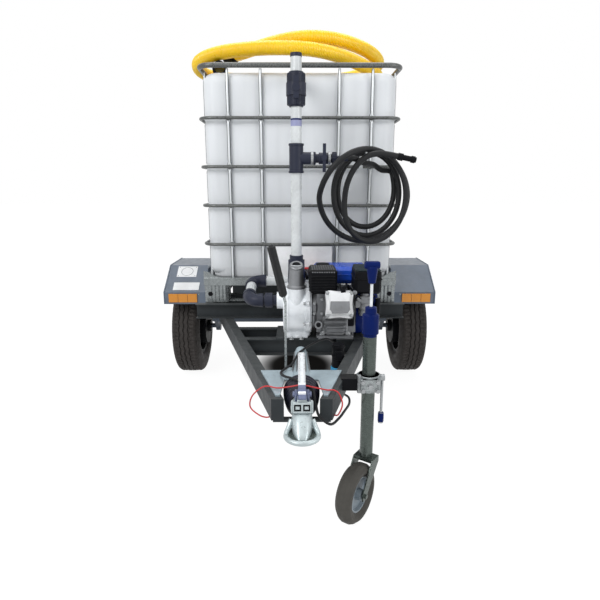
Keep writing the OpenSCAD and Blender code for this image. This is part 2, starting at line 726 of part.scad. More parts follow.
// Frame of the sloping cylinder, its -Y axis along the bore
module cylinder_frame() translate([block_x + 90, pump_y, shaft_z]) rotate([-cyl_slope, 0, 0]) children();
module engine_cylinder() color("gray") difference() {
  cylinder_frame() {
    box(-44, 44, -190, -60, -44, 44);
    for (i = [0 : 7]) box(-56, 56, -118 - 9 * i, -114 - 9 * i, -58, 58);
  }
  box(block_x - 60, block_end + 60, block_front - gap, block_back, leg_top, block_top + 60);
}
module rocker_cover() color("whitesmoke") cylinder_frame() translate([0, -190 - gap, 0]) rotate([90, 0, 0]) {
  linear_extrude(8) pane(rocker_w + 8, 112, 14);
  linear_extrude(44) pane(rocker_w, 104, 20);
}
muffler_foot = 25;
muffler_top = block_top + 122;
module muffler() color([0.1, 0.1, 0.1]) {
  difference() {
    box(36, 166, pump_y - 150, pump_y + 6, block_top + muffler_foot, muffler_top);
    for (i = [0 : 6]) translate([50 + 15 * i, 0, 0])
      box(0, 7, pump_y - 130, pump_y - 20, muffler_top - 4, muffler_top + 1);
  }
  box(block_x + 10, block_x + 60, pump_y - 80, pump_y - 10, block_top, block_top + muffler_foot);
}
module fuel_tank() color([0.1, 0.2, 0.6]) {
  difference() {
    translate([185, pump_y + 92, block_top + 8]) linear_extrude(104) pane(250, 156, 26);
    rod_x(block_end - 20, pump_y, shaft_z, blower_l + 40, blower_d + 6);
  }
  rod_z(185, pump_y + 92, block_top + 112, 14, 60);
  box(block_x + 20, block_x + 60, pump_y + 30, pump_y + 80, block_top, block_top + 8);
}
module air_filter() color([0.1, 0.1, 0.1]) {
  translate([block_end + 44, pump_y - 104, shaft_z + blower_d / 2 + 6]) linear_extrude(92) pane(118, 150, 16);
  box(block_end - 30, block_end - gap, pump_y - 90, pump_y - 60, block_top, shaft_z + blower_d / 2 + 6);
}
module carburettor() color("gray") {
  rod_z(block_end + 30, block_front - 44, block_top - 60, 60, 46);
  rod_z(block_end + 30, block_front - 44, block_top, shaft_z + blower_d / 2 + 6 - block_top, 34);
  box(block_end - 8, block_end + 20, block_front - 58, block_front - 24, block_top - 50, block_top - 20);
  box(block_end - 8, block_end - gap, block_front - 58, block_front - gap, block_top - 50, block_top - 20);
}
module blower_housing() color([0.1, 0.16, 0.4]) difference() {
  union() {
    rod_x(block_end, pump_y, shaft_z, blower_l, blower_d);
    rod_x(blower_end, pump_y, shaft_z, 24, 160);
    rod_y(recoil_x, pump_y - 92, shaft_z + 30, 40, 26);
  }
  rod_x(block_end + 6, pump_y, shaft_z, blower_l - 12, blower_d - 12);
  rod_x(block_end - 1, pump_y, shaft_z, 20, shaft_d + 20);
}
module recoil_grip() color("black") translate([recoil_x, pump_y - 92 - gap, shaft_z + 30]) {
  rotate([90, 0, 0]) cylinder(h = 22, d = 20);
  translate([0, -22, -40]) cylinder(h = 80, d = 22);
}

// Drawbar gear
function wing_x(y) = leg_out(y) - wing_edge;
module coupling_housing() color("silver") {
  difference() {
    union() {
      rod_y(0, housing_front, coupling_z, housing_back - housing_front, housing_d);
      translate([0, 0, leg_top]) linear_extrude(plate_t)
        polygon([
          [-wing_x(wing_back), wing_back], [wing_x(wing_back), wing_back],
          [wing_x(wing_front), wing_front], [wing_in, wing_front],
          [wing_in - 12, housing_front + 0.5], [12 - wing_in, housing_front + 0.5],
          [-wing_in, wing_front], [-wing_x(wing_front), wing_front]
        ]);
      rod_x(brake_x + 0.5 + 4, brake_y, brake_z, 30, 30);
      rod_x(brake_x - 10, brake_y, brake_z, 30, 16);
      box(-10, 10, housing_back - 12 - 14, housing_back - 12, leg_z - 26, coupling_z - 20);
    }
    rod_y(0, housing_front - 1, coupling_z, housing_back - housing_front + 2, slide_d + 2 * fit);
  }
}
// Radius of a fold of the bellows, smaller toward the coupling head
function fold_r(i) = bellows_d / 2 - 0.52 * i * i;
module bellows() color([0.08, 0.08, 0.08]) translate([0, housing_front, coupling_z]) rotate([90, 0, 0])
  rotate_extrude() difference() {
    polygon(concat(
      [[slide_d / 2 + 4, 0]],
      [for (i = [0 : 5]) each [
        [fold_r(i) - 14, 2 + i * (bellows_l - 4) / 6],
        [fold_r(i), 2 + (i + 0.5) * (bellows_l - 4) / 6]
      ]],
      [[fold_r(5) - 12, bellows_l - 2], [slide_d / 2 + 4, bellows_l]]
    ));
    square([slide_d / 2 + 3, 3 * bellows_l], center = true);
  }
module coupling_head() color("silver") difference() {
  union() {
    rod_y(0, head_y - 20, coupling_z, 20, slide_d + 16);
    rod_y(0, head_back, coupling_z, housing_back - 40 - head_back, slide_d);
    hull() {
      rod_y(0, head_back, coupling_z, 6, 66, $fn = 32);
      rod_z(0, ball_y, coupling_z - 34, 44, 92, $fn = 32);
      rod_z(0, ball_y, coupling_z + 10, 28, 58, $fn = 32);
    }
    intersection() {
      rod_z(0, ball_y, coupling_z - 46, 14, 2 * lip_r);
      box(-lip_r, lip_r, ball_y - lip_r, head_back - 4, coupling_z - 60, coupling_z);
    }
    both() box(15, 23, lever_y - 14, lever_y + 14, coupling_z, lever_z + 12);
  }
  translate([0, ball_y, ball_z]) sphere(d = ball_d + 0.8);
  rod_z(0, ball_y, coupling_z - 60, 60 - 12, ball_d + 0.8);
  rod_x(-40, lever_y, lever_z, 80, 10 + 2 * fit);
  box(-15, 15, lever_y - 20, lever_y + 40, coupling_z + 55, lever_z + 40);
}
module coupling_lever() color("gainsboro") {
  rod_x(-26, lever_y, lever_z, 52, 10);
  translate([-12, 0, 0]) rotate([90, 0, 90]) linear_extrude(24) polygon([
    [lever_y - 12, lever_z - 7], [lever_y + 12, lever_z - 8], [lever_y + 218, lever_z + 38],
    [lever_y + 222, lever_z + 48], [lever_y + 214, lever_z + 54], [lever_y, lever_z + 12],
    [lever_y - 12, lever_z + 8]
  ]);
}
brake_t = 8;
module handbrake_lever() color("gray") translate([brake_x, brake_y, brake_z]) difference() {
  union() {
    rod_x(-brake_t / 2, 0, 0, brake_t, 44);
    box(-brake_t / 2, brake_t / 2, -15, 15, 0, 272);
    translate([0, 0, 268]) rotate([0, -13.5, 0]) {
      box(-brake_t / 2, brake_t / 2, -15, 15, 0, 190);
      box(-9, 9, -17, 17, 60, 214);
    }
  }
  rod_x(-20, 0, 0, 40, 16 + 2 * fit);
}

module jockey_clamp() color([0.1, 0.1, 0.1]) difference() {
  union() {
    rod_z(jockey_x, jockey_y, clamp_z, clamp_h, clamp_d);
    box(jockey_x - 112, jockey_x, jockey_y - 24, jockey_y + 24, clamp_z + 5, clamp_z + clamp_h - 10);
    rod_x(jockey_x, jockey_y, clamp_z + clamp_h - 14, clamp_d / 2 + 4, 26);
  }
  rod_z(jockey_x, jockey_y, clamp_z - 1, clamp_h + 2, jockey_d + 2 * fit);
  linear_extrude(leg_top) leg_outline(0);
  box(0, leg_out(jockey_y - 24) - 4, jockey_y - 60, jockey_y + 60, leg_top, deck_z);
  rod_x(jockey_x + clamp_d / 2 - 8, jockey_y, clamp_z + clamp_h - 14, 20, 12 + 2 * fit);
}
screw_x = jockey_x + clamp_d / 2 + 4 + gap;
module clamp_handle() color("gray") translate([screw_x, jockey_y, clamp_z + clamp_h - 14]) {
  rod_x(-10, 0, 0, 12, 12);
  rod_x(0, 0, 0, 16, 24);
  rod_z(8, 0, -170, 166, 10);
  rod_z(8, 0, -176, 40, 20);
}
module jockey_outer_tube() color("silver") difference() {
  rod_z(jockey_x, jockey_y, jockey_low, jockey_top - jockey_low, jockey_d);
  rod_z(jockey_x, jockey_y, jockey_low - 1, jockey_top - jockey_low + 2, jockey_d - 6);
}
module jockey_head() color([0.1, 0.2, 0.5]) difference() {
  union() {
    rod_z(jockey_x, jockey_y, jockey_top, 64, jockey_d + 12);
    rod_z(jockey_x, jockey_y, jockey_top + 64, 28, 38);
    rod_z(jockey_x, jockey_y, jockey_top - 20, 21, jockey_d - 6 - 2 * socket_gap);
  }
  rod_z(jockey_x, jockey_y, jockey_top - 21, 120, 16 + 2 * fit);
}
module jockey_crank() color([0.1, 0.2, 0.5]) {
  rod_z(jockey_x, jockey_y, jockey_low + 60, jockey_top + 92 - jockey_low - 60, 16);
  rod_z(jockey_x, jockey_y, jockey_top + 92 + gap, 110, 12);
  rod_z(jockey_x, jockey_y, jockey_top + 92 - eps, 2, 12);
  rod_z(jockey_x, jockey_y, jockey_top + 196, 44, 36);
  rod_x(jockey_x - 34, jockey_y, jockey_top + 252, 68, 26);
}
inner_d = jockey_d - 6 - 2 * fit;
module jockey_inner_tube() color("silver") difference() {
  rod_z(jockey_x, jockey_y, crown_z + 0.3, jockey_top - 132 - crown_z, inner_d);
  rod_z(jockey_x, jockey_y, crown_z + 60, jockey_top - 230 - crown_z, inner_d - 6);
  rod_z(jockey_x, jockey_y, crown_z - 1, 70, 24 + 2 * fit);
  rod_z(jockey_x, jockey_y, crown_z + 100, jockey_top, 16 + 2 * fit);
}
// Frame of the castor: X toward the trail, Z up from the ground
module castor() translate([jockey_x, jockey_y, 0]) rotate([0, 0, swivel]) children();
fork_in = jockey_wheel_w / 2 + 4;
module jockey_fork() color("gainsboro") castor() {
  rod_z(0, 0, crown_z - 13, 50, 24 - 2 * eps);
  box(-26, 24, -fork_in - 5, fork_in + 5, crown_z - 13, crown_z);
  for (s = [-1, 1]) translate([0, s > 0 ? fork_in + 5 : -fork_in, 0]) rotate([90, 0, 0]) linear_extrude(5)
    polygon([
      [-26, crown_z], [24, crown_z], [trail + 18, jockey_wheel_d / 2 + 10],
      [trail + 14, jockey_wheel_d / 2 - 16], [trail - 14, jockey_wheel_d / 2 - 16],
      [trail - 22, jockey_wheel_d / 2 + 4], [-26, crown_z - 22]
    ]);
  rod_y(trail, -fork_in - 12, jockey_wheel_d / 2, 2 * fork_in + 24, 16);
}
module castor_wheel() castor() translate([trail, 0, jockey_wheel_d / 2]) rotate([90, 0, 0]) children();
jockey_rim_d = 132;
module jockey_tyre() color([0.35, 0.35, 0.36]) castor_wheel() rotate_extrude() polygon([
  [jockey_rim_d / 2, -20], [jockey_rim_d / 2 + 16, -jockey_wheel_w / 2],
  [jockey_wheel_d / 2 - 16, -jockey_wheel_w / 2],
  [jockey_wheel_d / 2 - 4, -jockey_wheel_w / 2 + 12], [jockey_wheel_d / 2, -10], [jockey_wheel_d / 2, 10],
  [jockey_wheel_d / 2 - 4, jockey_wheel_w / 2 - 12], [jockey_wheel_d / 2 - 16, jockey_wheel_w / 2],
  [jockey_rim_d / 2 + 16, jockey_wheel_w / 2], [jockey_rim_d / 2, 20]
]);
module jockey_rim() color([0.6, 0.68, 0.74]) castor_wheel() rotate_extrude() polygon([
  [8 + fit, -30], [20, -30], [22, -8], [jockey_rim_d / 2 - 8, -6], [jockey_rim_d / 2 - 6, -20],
  [jockey_rim_d / 2 - gap, -20], [jockey_rim_d / 2 - gap, 20], [jockey_rim_d / 2 - 6, 20],
  [jockey_rim_d / 2 - 8, 6], [22, 8], [20, 30], [8 + fit, 30]
]);

module plug_holder() color([0.08, 0.08, 0.08]) difference() {
  union() {
    rod_z(plug_x, plug_y, plug_z, 95, 50);
    box(plug_x, plug_x + 60, plug_y - 12, plug_y + 12, plug_z + 12, plug_z + 42);
    rod_y(gland_x, bar2_y - 20, gland_z, 20, 18);
  }
  linear_extrude(deck_z) leg_outline(0);
}
module trailer_plug() color([0.1, 0.65, 0.8]) {
  rod_z(plug_x, plug_y, plug_z - 45, 45, 58);
  rod_z(plug_x, plug_y, plug_z - 60, 16, 18);
}

// Road wheels, drawn for the right side
module wheel_frame() translate([wheel_x, axle_y, hub_z]) rotate([0, 90, 0]) children();
tread = tyre_d / 2;
seat = rim_d / 2;
side = tyre_w / 2;
module tyre() color([0.12, 0.12, 0.12]) wheel_frame() rotate_extrude($fn = 72) difference() {
  polygon([
    [seat + gap, -58], [seat + 16, -58.5], [seat + 30, -side + 8], [seat + 62, -side],
    [tread - 44, -side + 2], [tread - 16, -side + 10], [tread - 4, -side + 22],
    [tread, -side + 34], [tread, side - 34], [tread - 4, side - 22],
    [tread - 16, side - 10], [tread - 44, side - 2], [seat + 62, side],
    [seat + 30, side - 8], [seat + 16, 58.5], [seat + gap, 58]
  ]);
  polygon([
    [seat - 1, -44], [seat + 24, -48], [seat + 60, -side + 10], [tread - 46, -side + 14],
    [tread - 22, -side + 26], [tread - 14, 0], [tread - 22, side - 26], [tread - 46, side - 14],
    [seat + 60, side - 10], [seat + 24, 48], [seat - 1, 44]
  ]);
  for (x = [-27, 0, 27]) translate([tread, x]) square([14, 8], center = true);
}
module wheel() color("lightgray") wheel_frame() difference() {
  union() {
    rotate_extrude($fn = 72) polygon([
      [seat + 13, -64], [seat + 13, -60], [seat, -59], [seat, 59], [seat + 13, 60], [seat + 13, 64],
      [seat - 5, 64], [seat - 5, 24], [seat - 20, 10], [0, 10], [0, 2], [seat - 22, 2],
      [seat - 5, -4], [seat - 5, -64]
    ]);
    translate([0, 0, -120]) cylinder(h = 152, d = 78);
    translate([0, 0, -100]) cylinder(h = 56, d = 230);
    for (a = [0 : 72 : 288]) rotate([0, 0, a]) translate([52, 0, 9]) cylinder(h = 16, d = 18);
  }
  translate([0, 0, -121]) cylinder(h = 118 + gap, d = stub_d + 2 * fit);
}
module arm() color("slategray") {
  rod_x(beam_end + gap, pivot_y, pivot_z, arm_t, axle_s + 12);
  rod_x(beam_end + gap - 30, pivot_y, pivot_z, 31, axle_s - 14 - 2 * fit);
  translate([beam_end + gap, pivot_y, pivot_z]) rotate([-arm_slope, 0, 0])
    box(2, arm_t - 2, 0, arm_l, -24, 24);
  rod_x(beam_end + gap, axle_y, hub_z, arm_t, 64);
  rod_x(beam_end + gap + arm_t - 1, axle_y, hub_z, wheel_x - 4 - beam_end - gap - arm_t + 1, stub_d);
}
module tyre_right() tyre();
module tyre_left() mirror([1, 0, 0]) tyre();
module wheel_right() wheel();
module wheel_left() mirror([1, 0, 0]) wheel();
module arm_right() arm();
module arm_left() mirror([1, 0, 0]) arm();

// Swept tubes
function unit(v) = v / norm(v);
function tangents(p) = [for (i = [0 : len(p) - 1]) unit(p[min(i + 1, len(p) - 1)] - p[max(i - 1, 0)])];
function carried(t, n) = [
  for (i = 0, m = unit(n - (n * t[0]) * t[0]); i < len(t);
       m = i + 1 < len(t) ? unit(m - (m * t[i + 1]) * t[i + 1]) : m, i = i + 1) m
];
function wrap(p, n, radii, sides) = let (t = tangents(p), m = carried(t, n)) [
  for (i = [0 : len(p) - 1]) for (k = [0 : sides - 1])
    let (a = 360 * k / sides) p[i] + radii[i] * (cos(a) * m[i] + sin(a) * cross(t[i], m[i]))
];
function skin(rings, sides, base, flip) = [
  for (i = [0 : rings - 2]) for (k = [0 : sides - 1])
    let (a = base + i * sides + k, b = base + i * sides + (k + 1) % sides, c = a + sides, d = b + sides)
    each (flip ? [[a, b, c], [b, d, c]] : [[a, c, b], [b, c, d]])
];
function lid(base, sides, flip) = [
  for (k = [1 : sides - 2]) flip ? [base, base + k, base + k + 1] : [base, base + k + 1, base + k]
];
module cord(p, n, d, sides) {
  count = len(p);
  polyhedron(
    points = wrap(p, n, [for (q = p) d / 2], sides),
    faces = concat(skin(count, sides, 0, false), lid(0, sides, true), lid((count - 1) * sides, sides, false))
  );
}
// Smooth curve through hand-chosen points
function bend(a, b, c, d, t) = 0.5 * ((2 * b) + (c - a) * t + (2 * a - 5 * b + 4 * c - d) * t * t
  + (3 * b - a - 3 * c + d) * t * t * t);
function curve(p, steps) = concat([
  for (i = [0 : len(p) - 2]) for (s = [0 : steps - 1])
    bend(p[max(i - 1, 0)], p[i], p[i + 1], p[min(i + 2, len(p) - 1)], s / steps)
], [p[len(p) - 1]]);
function closest(p, apart) = min([
  for (i = [0 : len(p) - 1]) for (j = [i + apart : 1 : len(p) - 1]) norm(p[i] - p[j])
]);

// Suction hose: two oval turns on the tank top, round by the left, the back, the right and the front
suction_from = 28;
suction_to = 705;
function soft(u, t) = (lookup(u - 18, t) + lookup(u - 9, t) + lookup(u, t)
  + lookup(u + 9, t) + lookup(u + 18, t)) / 5;
reach_x = [
  [0, 432], [300, 432], [330, 470], [352, 570], [365, 565], [380, 525], [400, 500], [490, 432], [665, 432],
  [705, 400]
];
middle_x = [[0, -2], [300, -2], [350, -28], [410, -28], [500, -2]];
reach_y = [[0, 400], [600, 400], [640, 345], [680, 315], [705, 270]];
height = [
  [0, 1775.3], [225, 1775.3], [262, 1790], [288, 1838], [318, 1843], [340, 1854], [360, 1845], [380, 1818],
  [400, 1810], [425, 1826], [450, 1848], [585, 1852], [610, 1864], [630, 1892], [650, 1914], [672, 1906],
  [690, 1884], [700, 1872], [705, 1870]
];
function suction_point(u) = let (a = 215 - u) [
  soft(u, middle_x) + soft(u, reach_x) * cos(a), 430 + soft(u, reach_y) * sin(a), soft(u, height)
];
function suction_end(u, v) = let (p = suction_point(u)) [p, unit(p - suction_point(u + v))];
suction_lead = 190;
suction_straight = 80;
suction_steps = 2 * suction_ribs;
suction_in = suction_end(suction_from, 0.5);
suction_out = suction_end(suction_to, -0.5);
lead_rings = 12;
function suction_path(n) = concat(
  [for (i = [0 : lead_rings - 1]) suction_in[0] + suction_in[1] * suction_lead * (1 - i / lead_rings)],
  [for (i = [0 : n - 1]) suction_point(suction_from + (suction_to - suction_from) * i / (n - 1))],
  [for (i = [1 : 6]) suction_out[0] + suction_out[1] * suction_straight * i / 6]
);
echo(suction_self_gap = closest(suction_path(100), 16) - suction_d);
module suction_hose() color("gold") {
  outer = suction_path(suction_steps);
  inner = suction_path(56);
  count = len(outer);
  inside = len(inner);
  sides = 8;
  base = count * sides;
  radii = [for (i = [0 : count - 1]) suction_d / 2 - (i > 1 && i < count - 2 && i % 2 == 0 ? 4 : 0)];
  up = [0, 0, 1];
  polyhedron(
    points = concat(
      wrap(outer, up, radii, sides),
      wrap(inner, up, [for (q = inner) suction_bore / 2], sides)
    ),
    faces = concat(
      skin(count, sides, 0, false), skin(inside, sides, base, true),
      [for (k = [0 : sides - 1]) let (a = k, b = (k + 1) % sides)
        each [[a, b, base + a], [b, base + b, base + a]]],
      [for (k = [0 : sides - 1]) let (
        a = base - sides + k, b = base - sides + (k + 1) % sides,
        c = base + (inside - 1) * sides + k, d = base + (inside - 1) * sides + (k + 1) % sides
      ) each [[a, c, b], [b, c, d]]]
    )
  );
}
module coupling_at(p, d, l) {
  start = p + d * (l + gap);
  translate(start) rotate([0, 0, atan2(d[1], d[0])]) rotate([0, 90 - asin(d[2]), 0]) difference() {
    union() {
      cylinder(h = 78, d = suction_d - 4);
      translate([0, 0, 20]) cylinder(h = 34, d = suction_d + 6);
    }
    translate([0, 0, -1]) cylinder(h = 90, d = suction_bore);
  }
}
module suction_couplings() color([0.1, 0.1, 0.1]) {
  coupling_at(suction_in[0], suction_in[1], suction_lead);
  coupling_at(suction_out[0], suction_out[1], suction_straight);
}

// Delivery hose: hung loops in front of the cage, clockwise from the branch tail
delivery_turns = 4;
tail_x = branch_x + branch_l + tail_l + gap;
loop_right = [[90, 456], [450, 475], [810, 508], [1170, 490]];
loop_left = [[270, 182], [630, 160], [990, 86], [1350, 203]];
loop_top = [[360, 1361], [720, 1361.5], [1080, 1365], [1440, 1345]];
loop_low = [[180, 1010], [540, 970], [900, 948], [1260, 950]];
loop_y = [
  [0, -62], [360, -90], [720, -122], [940, -150], [985, -230], [1010, -292], [1025, -316], [1045, -316],
  [1062, -290], [1080, -242], [1098, -205], [1120, -182], [1260, -190], [1350, -222],
  [1390, -264], [1440, -252]
];
function between(a, b, t) = (a + b) / 2 + (a - b) / 2 * t;
function loop_point(w) = [
  between(lookup(w, loop_right), lookup(w, loop_left), sin(w)), lookup(w, loop_y),
  between(lookup(w, loop_top), lookup(w, loop_low), cos(w))
];
delivery_lead = [
  [tail_x, riser_y, tee_z], [tail_x + 26, riser_y, tee_z], [290, -200, 1308],
  [345, -120, 1302], [390, -82, 1280]
];
delivery_end = [[374, -250, 1343], [407, -250, 1338], [432, -250, 1333]];
delivery_path = concat(
  delivery_lead,
  [for (i = [4 : 24 * delivery_turns]) loop_point(15 * i)],
  delivery_end
);
echo(delivery_self_gap = closest(delivery_path, 8) - delivery_d);
module delivery_hose() color([0.12, 0.12, 0.13]) cord(delivery_path, [0, 1, 0], delivery_d, 6);
nozzle_at = delivery_end[2];
nozzle_to = unit(delivery_end[2] - delivery_end[1]);
module delivery_nozzle() color([0.15, 0.15, 0.16])
  translate(nozzle_at + nozzle_to * gap) rotate([0, 0, atan2(nozzle_to[1], nozzle_to[0])])
    rotate([0, 90 - asin(nozzle_to[2]), 0]) difference() {
      union() {
        cylinder(h = 22, d = delivery_d + 6);
        cylinder(h = 82, d = delivery_d - 2);
        translate([0, 0, 60]) cylinder(h = 16, d = delivery_d + 4);
      }
      translate([0, 0, -1]) cylinder(h = 90, d = delivery_d - 12);
    }

// Trailer cable: from the plug under and round the right leg, over the bellows and back over the housing
cable_points = [
  [plug_x, plug_y, plug_z - 60.5], [plug_x, plug_y, plug_z - 74], [156, -622, 394], [170, -658, 388],
  [186, -722, 400], [180, -800, 410], [153, -900, 430], [124, -982, 441], [92, -1047, 455],
  [56, -1047, 484], [46, -1020, 510], [36, -988, 547], [2, -962, 563], [-34, -928, 565],
  [-60, -888, 557], [-74, -838, 549], [-60, -800, 550], [-36, -764, 554], [-22, -716, 558],
  [-2, -650, 564], [60, -560, 572], [112, -490, 566],
  [gland_x, bar2_y - 40, gland_z], [gland_x, bar2_y - 22, gland_z]
];
module trailer_cable() color([0.05, 0.05, 0.05]) cord(curve(cable_points, 2), [1, 0, 0], cable_d, 8);
// Point beside the right leg's outer face, at a distance t from it
function beside_leg(y, t, z) = [leg_out(y) + t * cos(lean), y - t * sin(lean), z];
// Breakaway cable: from under the left leg out, over the legs and the bellows
breakaway_points = [
  [-104, -984, leg_z - 0.8], [-104, -984, leg_z - 7], [-120, -981, 447], [-146, -972, 452], [-176, -952, 472],
  [-168, -940, 508], [-126, -952, 546], [-80, -972, 549], [-36, -986, 560], [0, -990, 567], [40, -988, 558],
  [82, -984, 547], [106, -986, 547], [124, -989, 535], [135, -996, 500], beside_leg(-1004, 14, 470),
  beside_leg(-1004, 0.8, 466)
];
module breakaway_cable() color("red") cord(curve(breakaway_points, 2), [0, 1, 0], breakaway_d, 8);

place() side_rails();
place() cross_members();
place() drawbar_legs();
place() axle_beam();
place() mudguards();
place() front_reflectors();
place() rear_lamps();
place() blank_plates();
place() pallet_base();
place() pallet_feet();
place() tank_bottle();
place() cage_rings();
place() cage_uprights();
place() outlet_valve();
place() pvc_pipes();
place() pvc_fittings();
place() valve_bodies();
place() pump_casing();
place() engine_crankcase();
place() engine_cylinder();
place() rocker_cover();
place() muffler();
place() fuel_tank();
place() air_filter();
place() carburettor();
place() blower_housing();
place() coupling_housing();
place() bellows();
place() jockey_clamp();
place() plug_holder();
place() suction_hose();
place() suction_couplings();
place() delivery_hose();
place() delivery_nozzle();
place() trailer_cable();
place() trailer_plug();
place() breakaway_cable();
place() tyre_left();
place() tyre_right();
place() wheel_left();
place() wheel_right();
place() arm_left();
place() arm_right();
place() tank_lid();
place() outlet_lever();
place() riser_handle();
place() branch_handle();
place() coupling_head();
place() coupling_lever();
place() handbrake_lever();
place() jockey_outer_tube();
place() jockey_head();
place() jockey_crank();
place() jockey_inner_tube();
place() jockey_fork();
place() jockey_tyre();
place() jockey_rim();
place() clamp_handle();
place() pump_rotor();
place() recoil_grip();
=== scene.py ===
"""Looks of a towed water bowser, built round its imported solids."""

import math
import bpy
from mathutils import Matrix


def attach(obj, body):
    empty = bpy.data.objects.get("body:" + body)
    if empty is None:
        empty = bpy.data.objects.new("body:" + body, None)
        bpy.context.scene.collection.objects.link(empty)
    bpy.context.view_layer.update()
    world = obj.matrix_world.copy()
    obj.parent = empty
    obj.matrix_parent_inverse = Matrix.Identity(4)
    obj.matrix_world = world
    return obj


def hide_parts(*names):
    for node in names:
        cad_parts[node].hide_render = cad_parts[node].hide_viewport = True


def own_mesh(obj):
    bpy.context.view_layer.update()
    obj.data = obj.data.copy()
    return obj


bl_info = {
    "name": "Water bowser looks",
    "version": (1, 0, 0),
    "blender": (4, 5, 0),
    "location": "View3D > Sidebar > Bowser",
    "description": "Finishes, hoses and small fittings of a towed water bowser",
    "category": "Object",
}

from itertools import product

import bpy
from bpy.props import FloatProperty, FloatVectorProperty, PointerProperty
from bpy.types import NodeSocket, Operator, Panel, PropertyGroup
from mathutils import Matrix, Vector

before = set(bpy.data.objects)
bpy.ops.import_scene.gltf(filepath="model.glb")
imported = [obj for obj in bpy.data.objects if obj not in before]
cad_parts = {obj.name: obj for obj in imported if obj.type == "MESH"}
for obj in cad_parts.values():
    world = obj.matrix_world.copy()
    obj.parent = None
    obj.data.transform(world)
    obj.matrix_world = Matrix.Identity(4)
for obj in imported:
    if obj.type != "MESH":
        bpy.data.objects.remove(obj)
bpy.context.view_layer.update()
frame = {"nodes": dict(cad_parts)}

MM = 0.001
X_AXIS = Vector((1, 0, 0))
Y_AXIS = Vector((0, 1, 0))
Z_AXIS = Vector((0, 0, 1))

# Places are in millimetres, and along the trailer they count from the tank front,
# which lies this far from the trailer's middle
TANK_FRONT = -50.0
CAGE_RINGS = (913, 1108, 1298, 1527)
CAGE_BARS = (-350, -190, 190, 350)
WHEEL_X, WHEEL_Y, TYRE_RADIUS = 705, 640, 298
COUPLING_Z = 500


def at(x, y, z):
    """Point in metres of a place in millimetres."""
    return Vector((x * MM, (y + TANK_FRONT) * MM, z * MM))


def places(points):
    return [at(*p) for p in points]


def on_riser(z):
    return at(-18, -250, z)


def on_branch(x):
    return at(x, -250, 1324)


def on_shaft(x):
    """Point on the axis of the pump and the engine."""
    return at(x, -340, 666)


def on_drawbar(y):
    """Point on the axis of the coupling."""
    return at(0, y, COUPLING_Z)


def on_jockey(z):
    return at(242, -850, z)


def on_plug(z):
    return at(152, -606, z)


def ink(red, green, blue):
    """Linear colour of an 8-bit screen colour."""
    return tuple(((c / 255 + 0.055) / 1.055) ** 2.4 if c > 10 else c / 3294.6 for c in (red, green, blue))


def shade(tint, factor):
    return tuple(min(1.0, c * factor) for c in tint)


def colour(label, note, value):
    return FloatVectorProperty(
        name=label, description=note, subtype="COLOR", size=3, min=0, max=1, default=value
    )


def length(label, note, value):
    return FloatProperty(name=label, description=note, unit="LENGTH", min=0, precision=4, default=value)


class BowserColours(PropertyGroup):
    chassis: colour("Chassis", "Satin paint of the chassis and the drawbar", ink(54, 59, 62))
    guard: colour("Mudguards", "Paint of the mudguards", ink(98, 109, 124))
    zinc: colour("Zinc", "Galvanised tray, feet and clamp", ink(158, 164, 165))
    bottle: colour("Bottle", "Translucent plastic of the bottle", ink(228, 231, 234))
    hose: colour("Suction hose", "Plastic of the ribbed hose", ink(250, 206, 16))
    dark_pipe: colour("Dark fittings", "Plastic of the elbows, tee and valves", ink(38, 42, 58))
    pale_pipe: colour("Pale pipes", "Plastic of the rigid pipes", ink(212, 216, 217))
    black: colour("Black parts", "Black plastic and paint", ink(14, 15, 19))
    rubber: colour("Rubber", "Rubber of the delivery hose, cable and grip", ink(28, 29, 31))
    tyre: colour("Tyres", "Tread and wall of the road tyres", ink(56, 52, 50))
    alloy: colour("Cast alloy", "Engine castings and filler neck", ink(132, 134, 137))
    cover: colour("Rocker cover", "Pale paint of the rocker cover", ink(236, 237, 238))
    navy: colour("Navy plastic", "Blower housing and jockey head", ink(8, 28, 88))
    tank_blue: colour("Fuel tank", "Paint of the fuel tank", ink(30, 82, 200))
    amber: colour("Amber", "Front reflectors", ink(236, 150, 10))
    red: colour("Red", "Lamps, lever and breakaway cable", ink(196, 48, 52))
    cyan: colour("Plug ring", "Collar of the trailer plug", ink(42, 156, 206))
    plate: colour("Plates", "Blank white plates", ink(240, 241, 242))


class BowserSizes(PropertyGroup):
    suction: length("Suction hose", "Outer diameter of the ribbed hose", 0.066)
    rib: length("Rib pitch", "Distance between two ribs of the suction hose", 0.0075)
    delivery: length("Delivery hose", "Outer diameter of the delivery hose", 0.026)
    cable: length("Trailer cable", "Outer diameter of the trailer cable", 0.009)
    breakaway: length("Breakaway cable", "Outer diameter of the breakaway cable", 0.005)
    lens: FloatProperty(name="Lens", description="Focal length on a 36 mm sensor", unit="CAMERA", default=29.17)


def sizes():
    return bpy.context.scene.bowser_sizes


# Finishes

# The colour sockets of a mix node
MIX_A, MIX_B, MIX_OUT = 6, 7, 2


def add_node(tree, kind, inputs=(), **settings):
    """A node with its settings, and its inputs set or linked."""
    made = tree.nodes.new(kind)
    for key, value in settings.items():
        setattr(made, key, value)
    for socket, value in dict(inputs).items():
        if isinstance(value, NodeSocket):
            tree.links.new(value, made.inputs[socket])
        else:
            made.inputs[socket].default_value = value
    return made


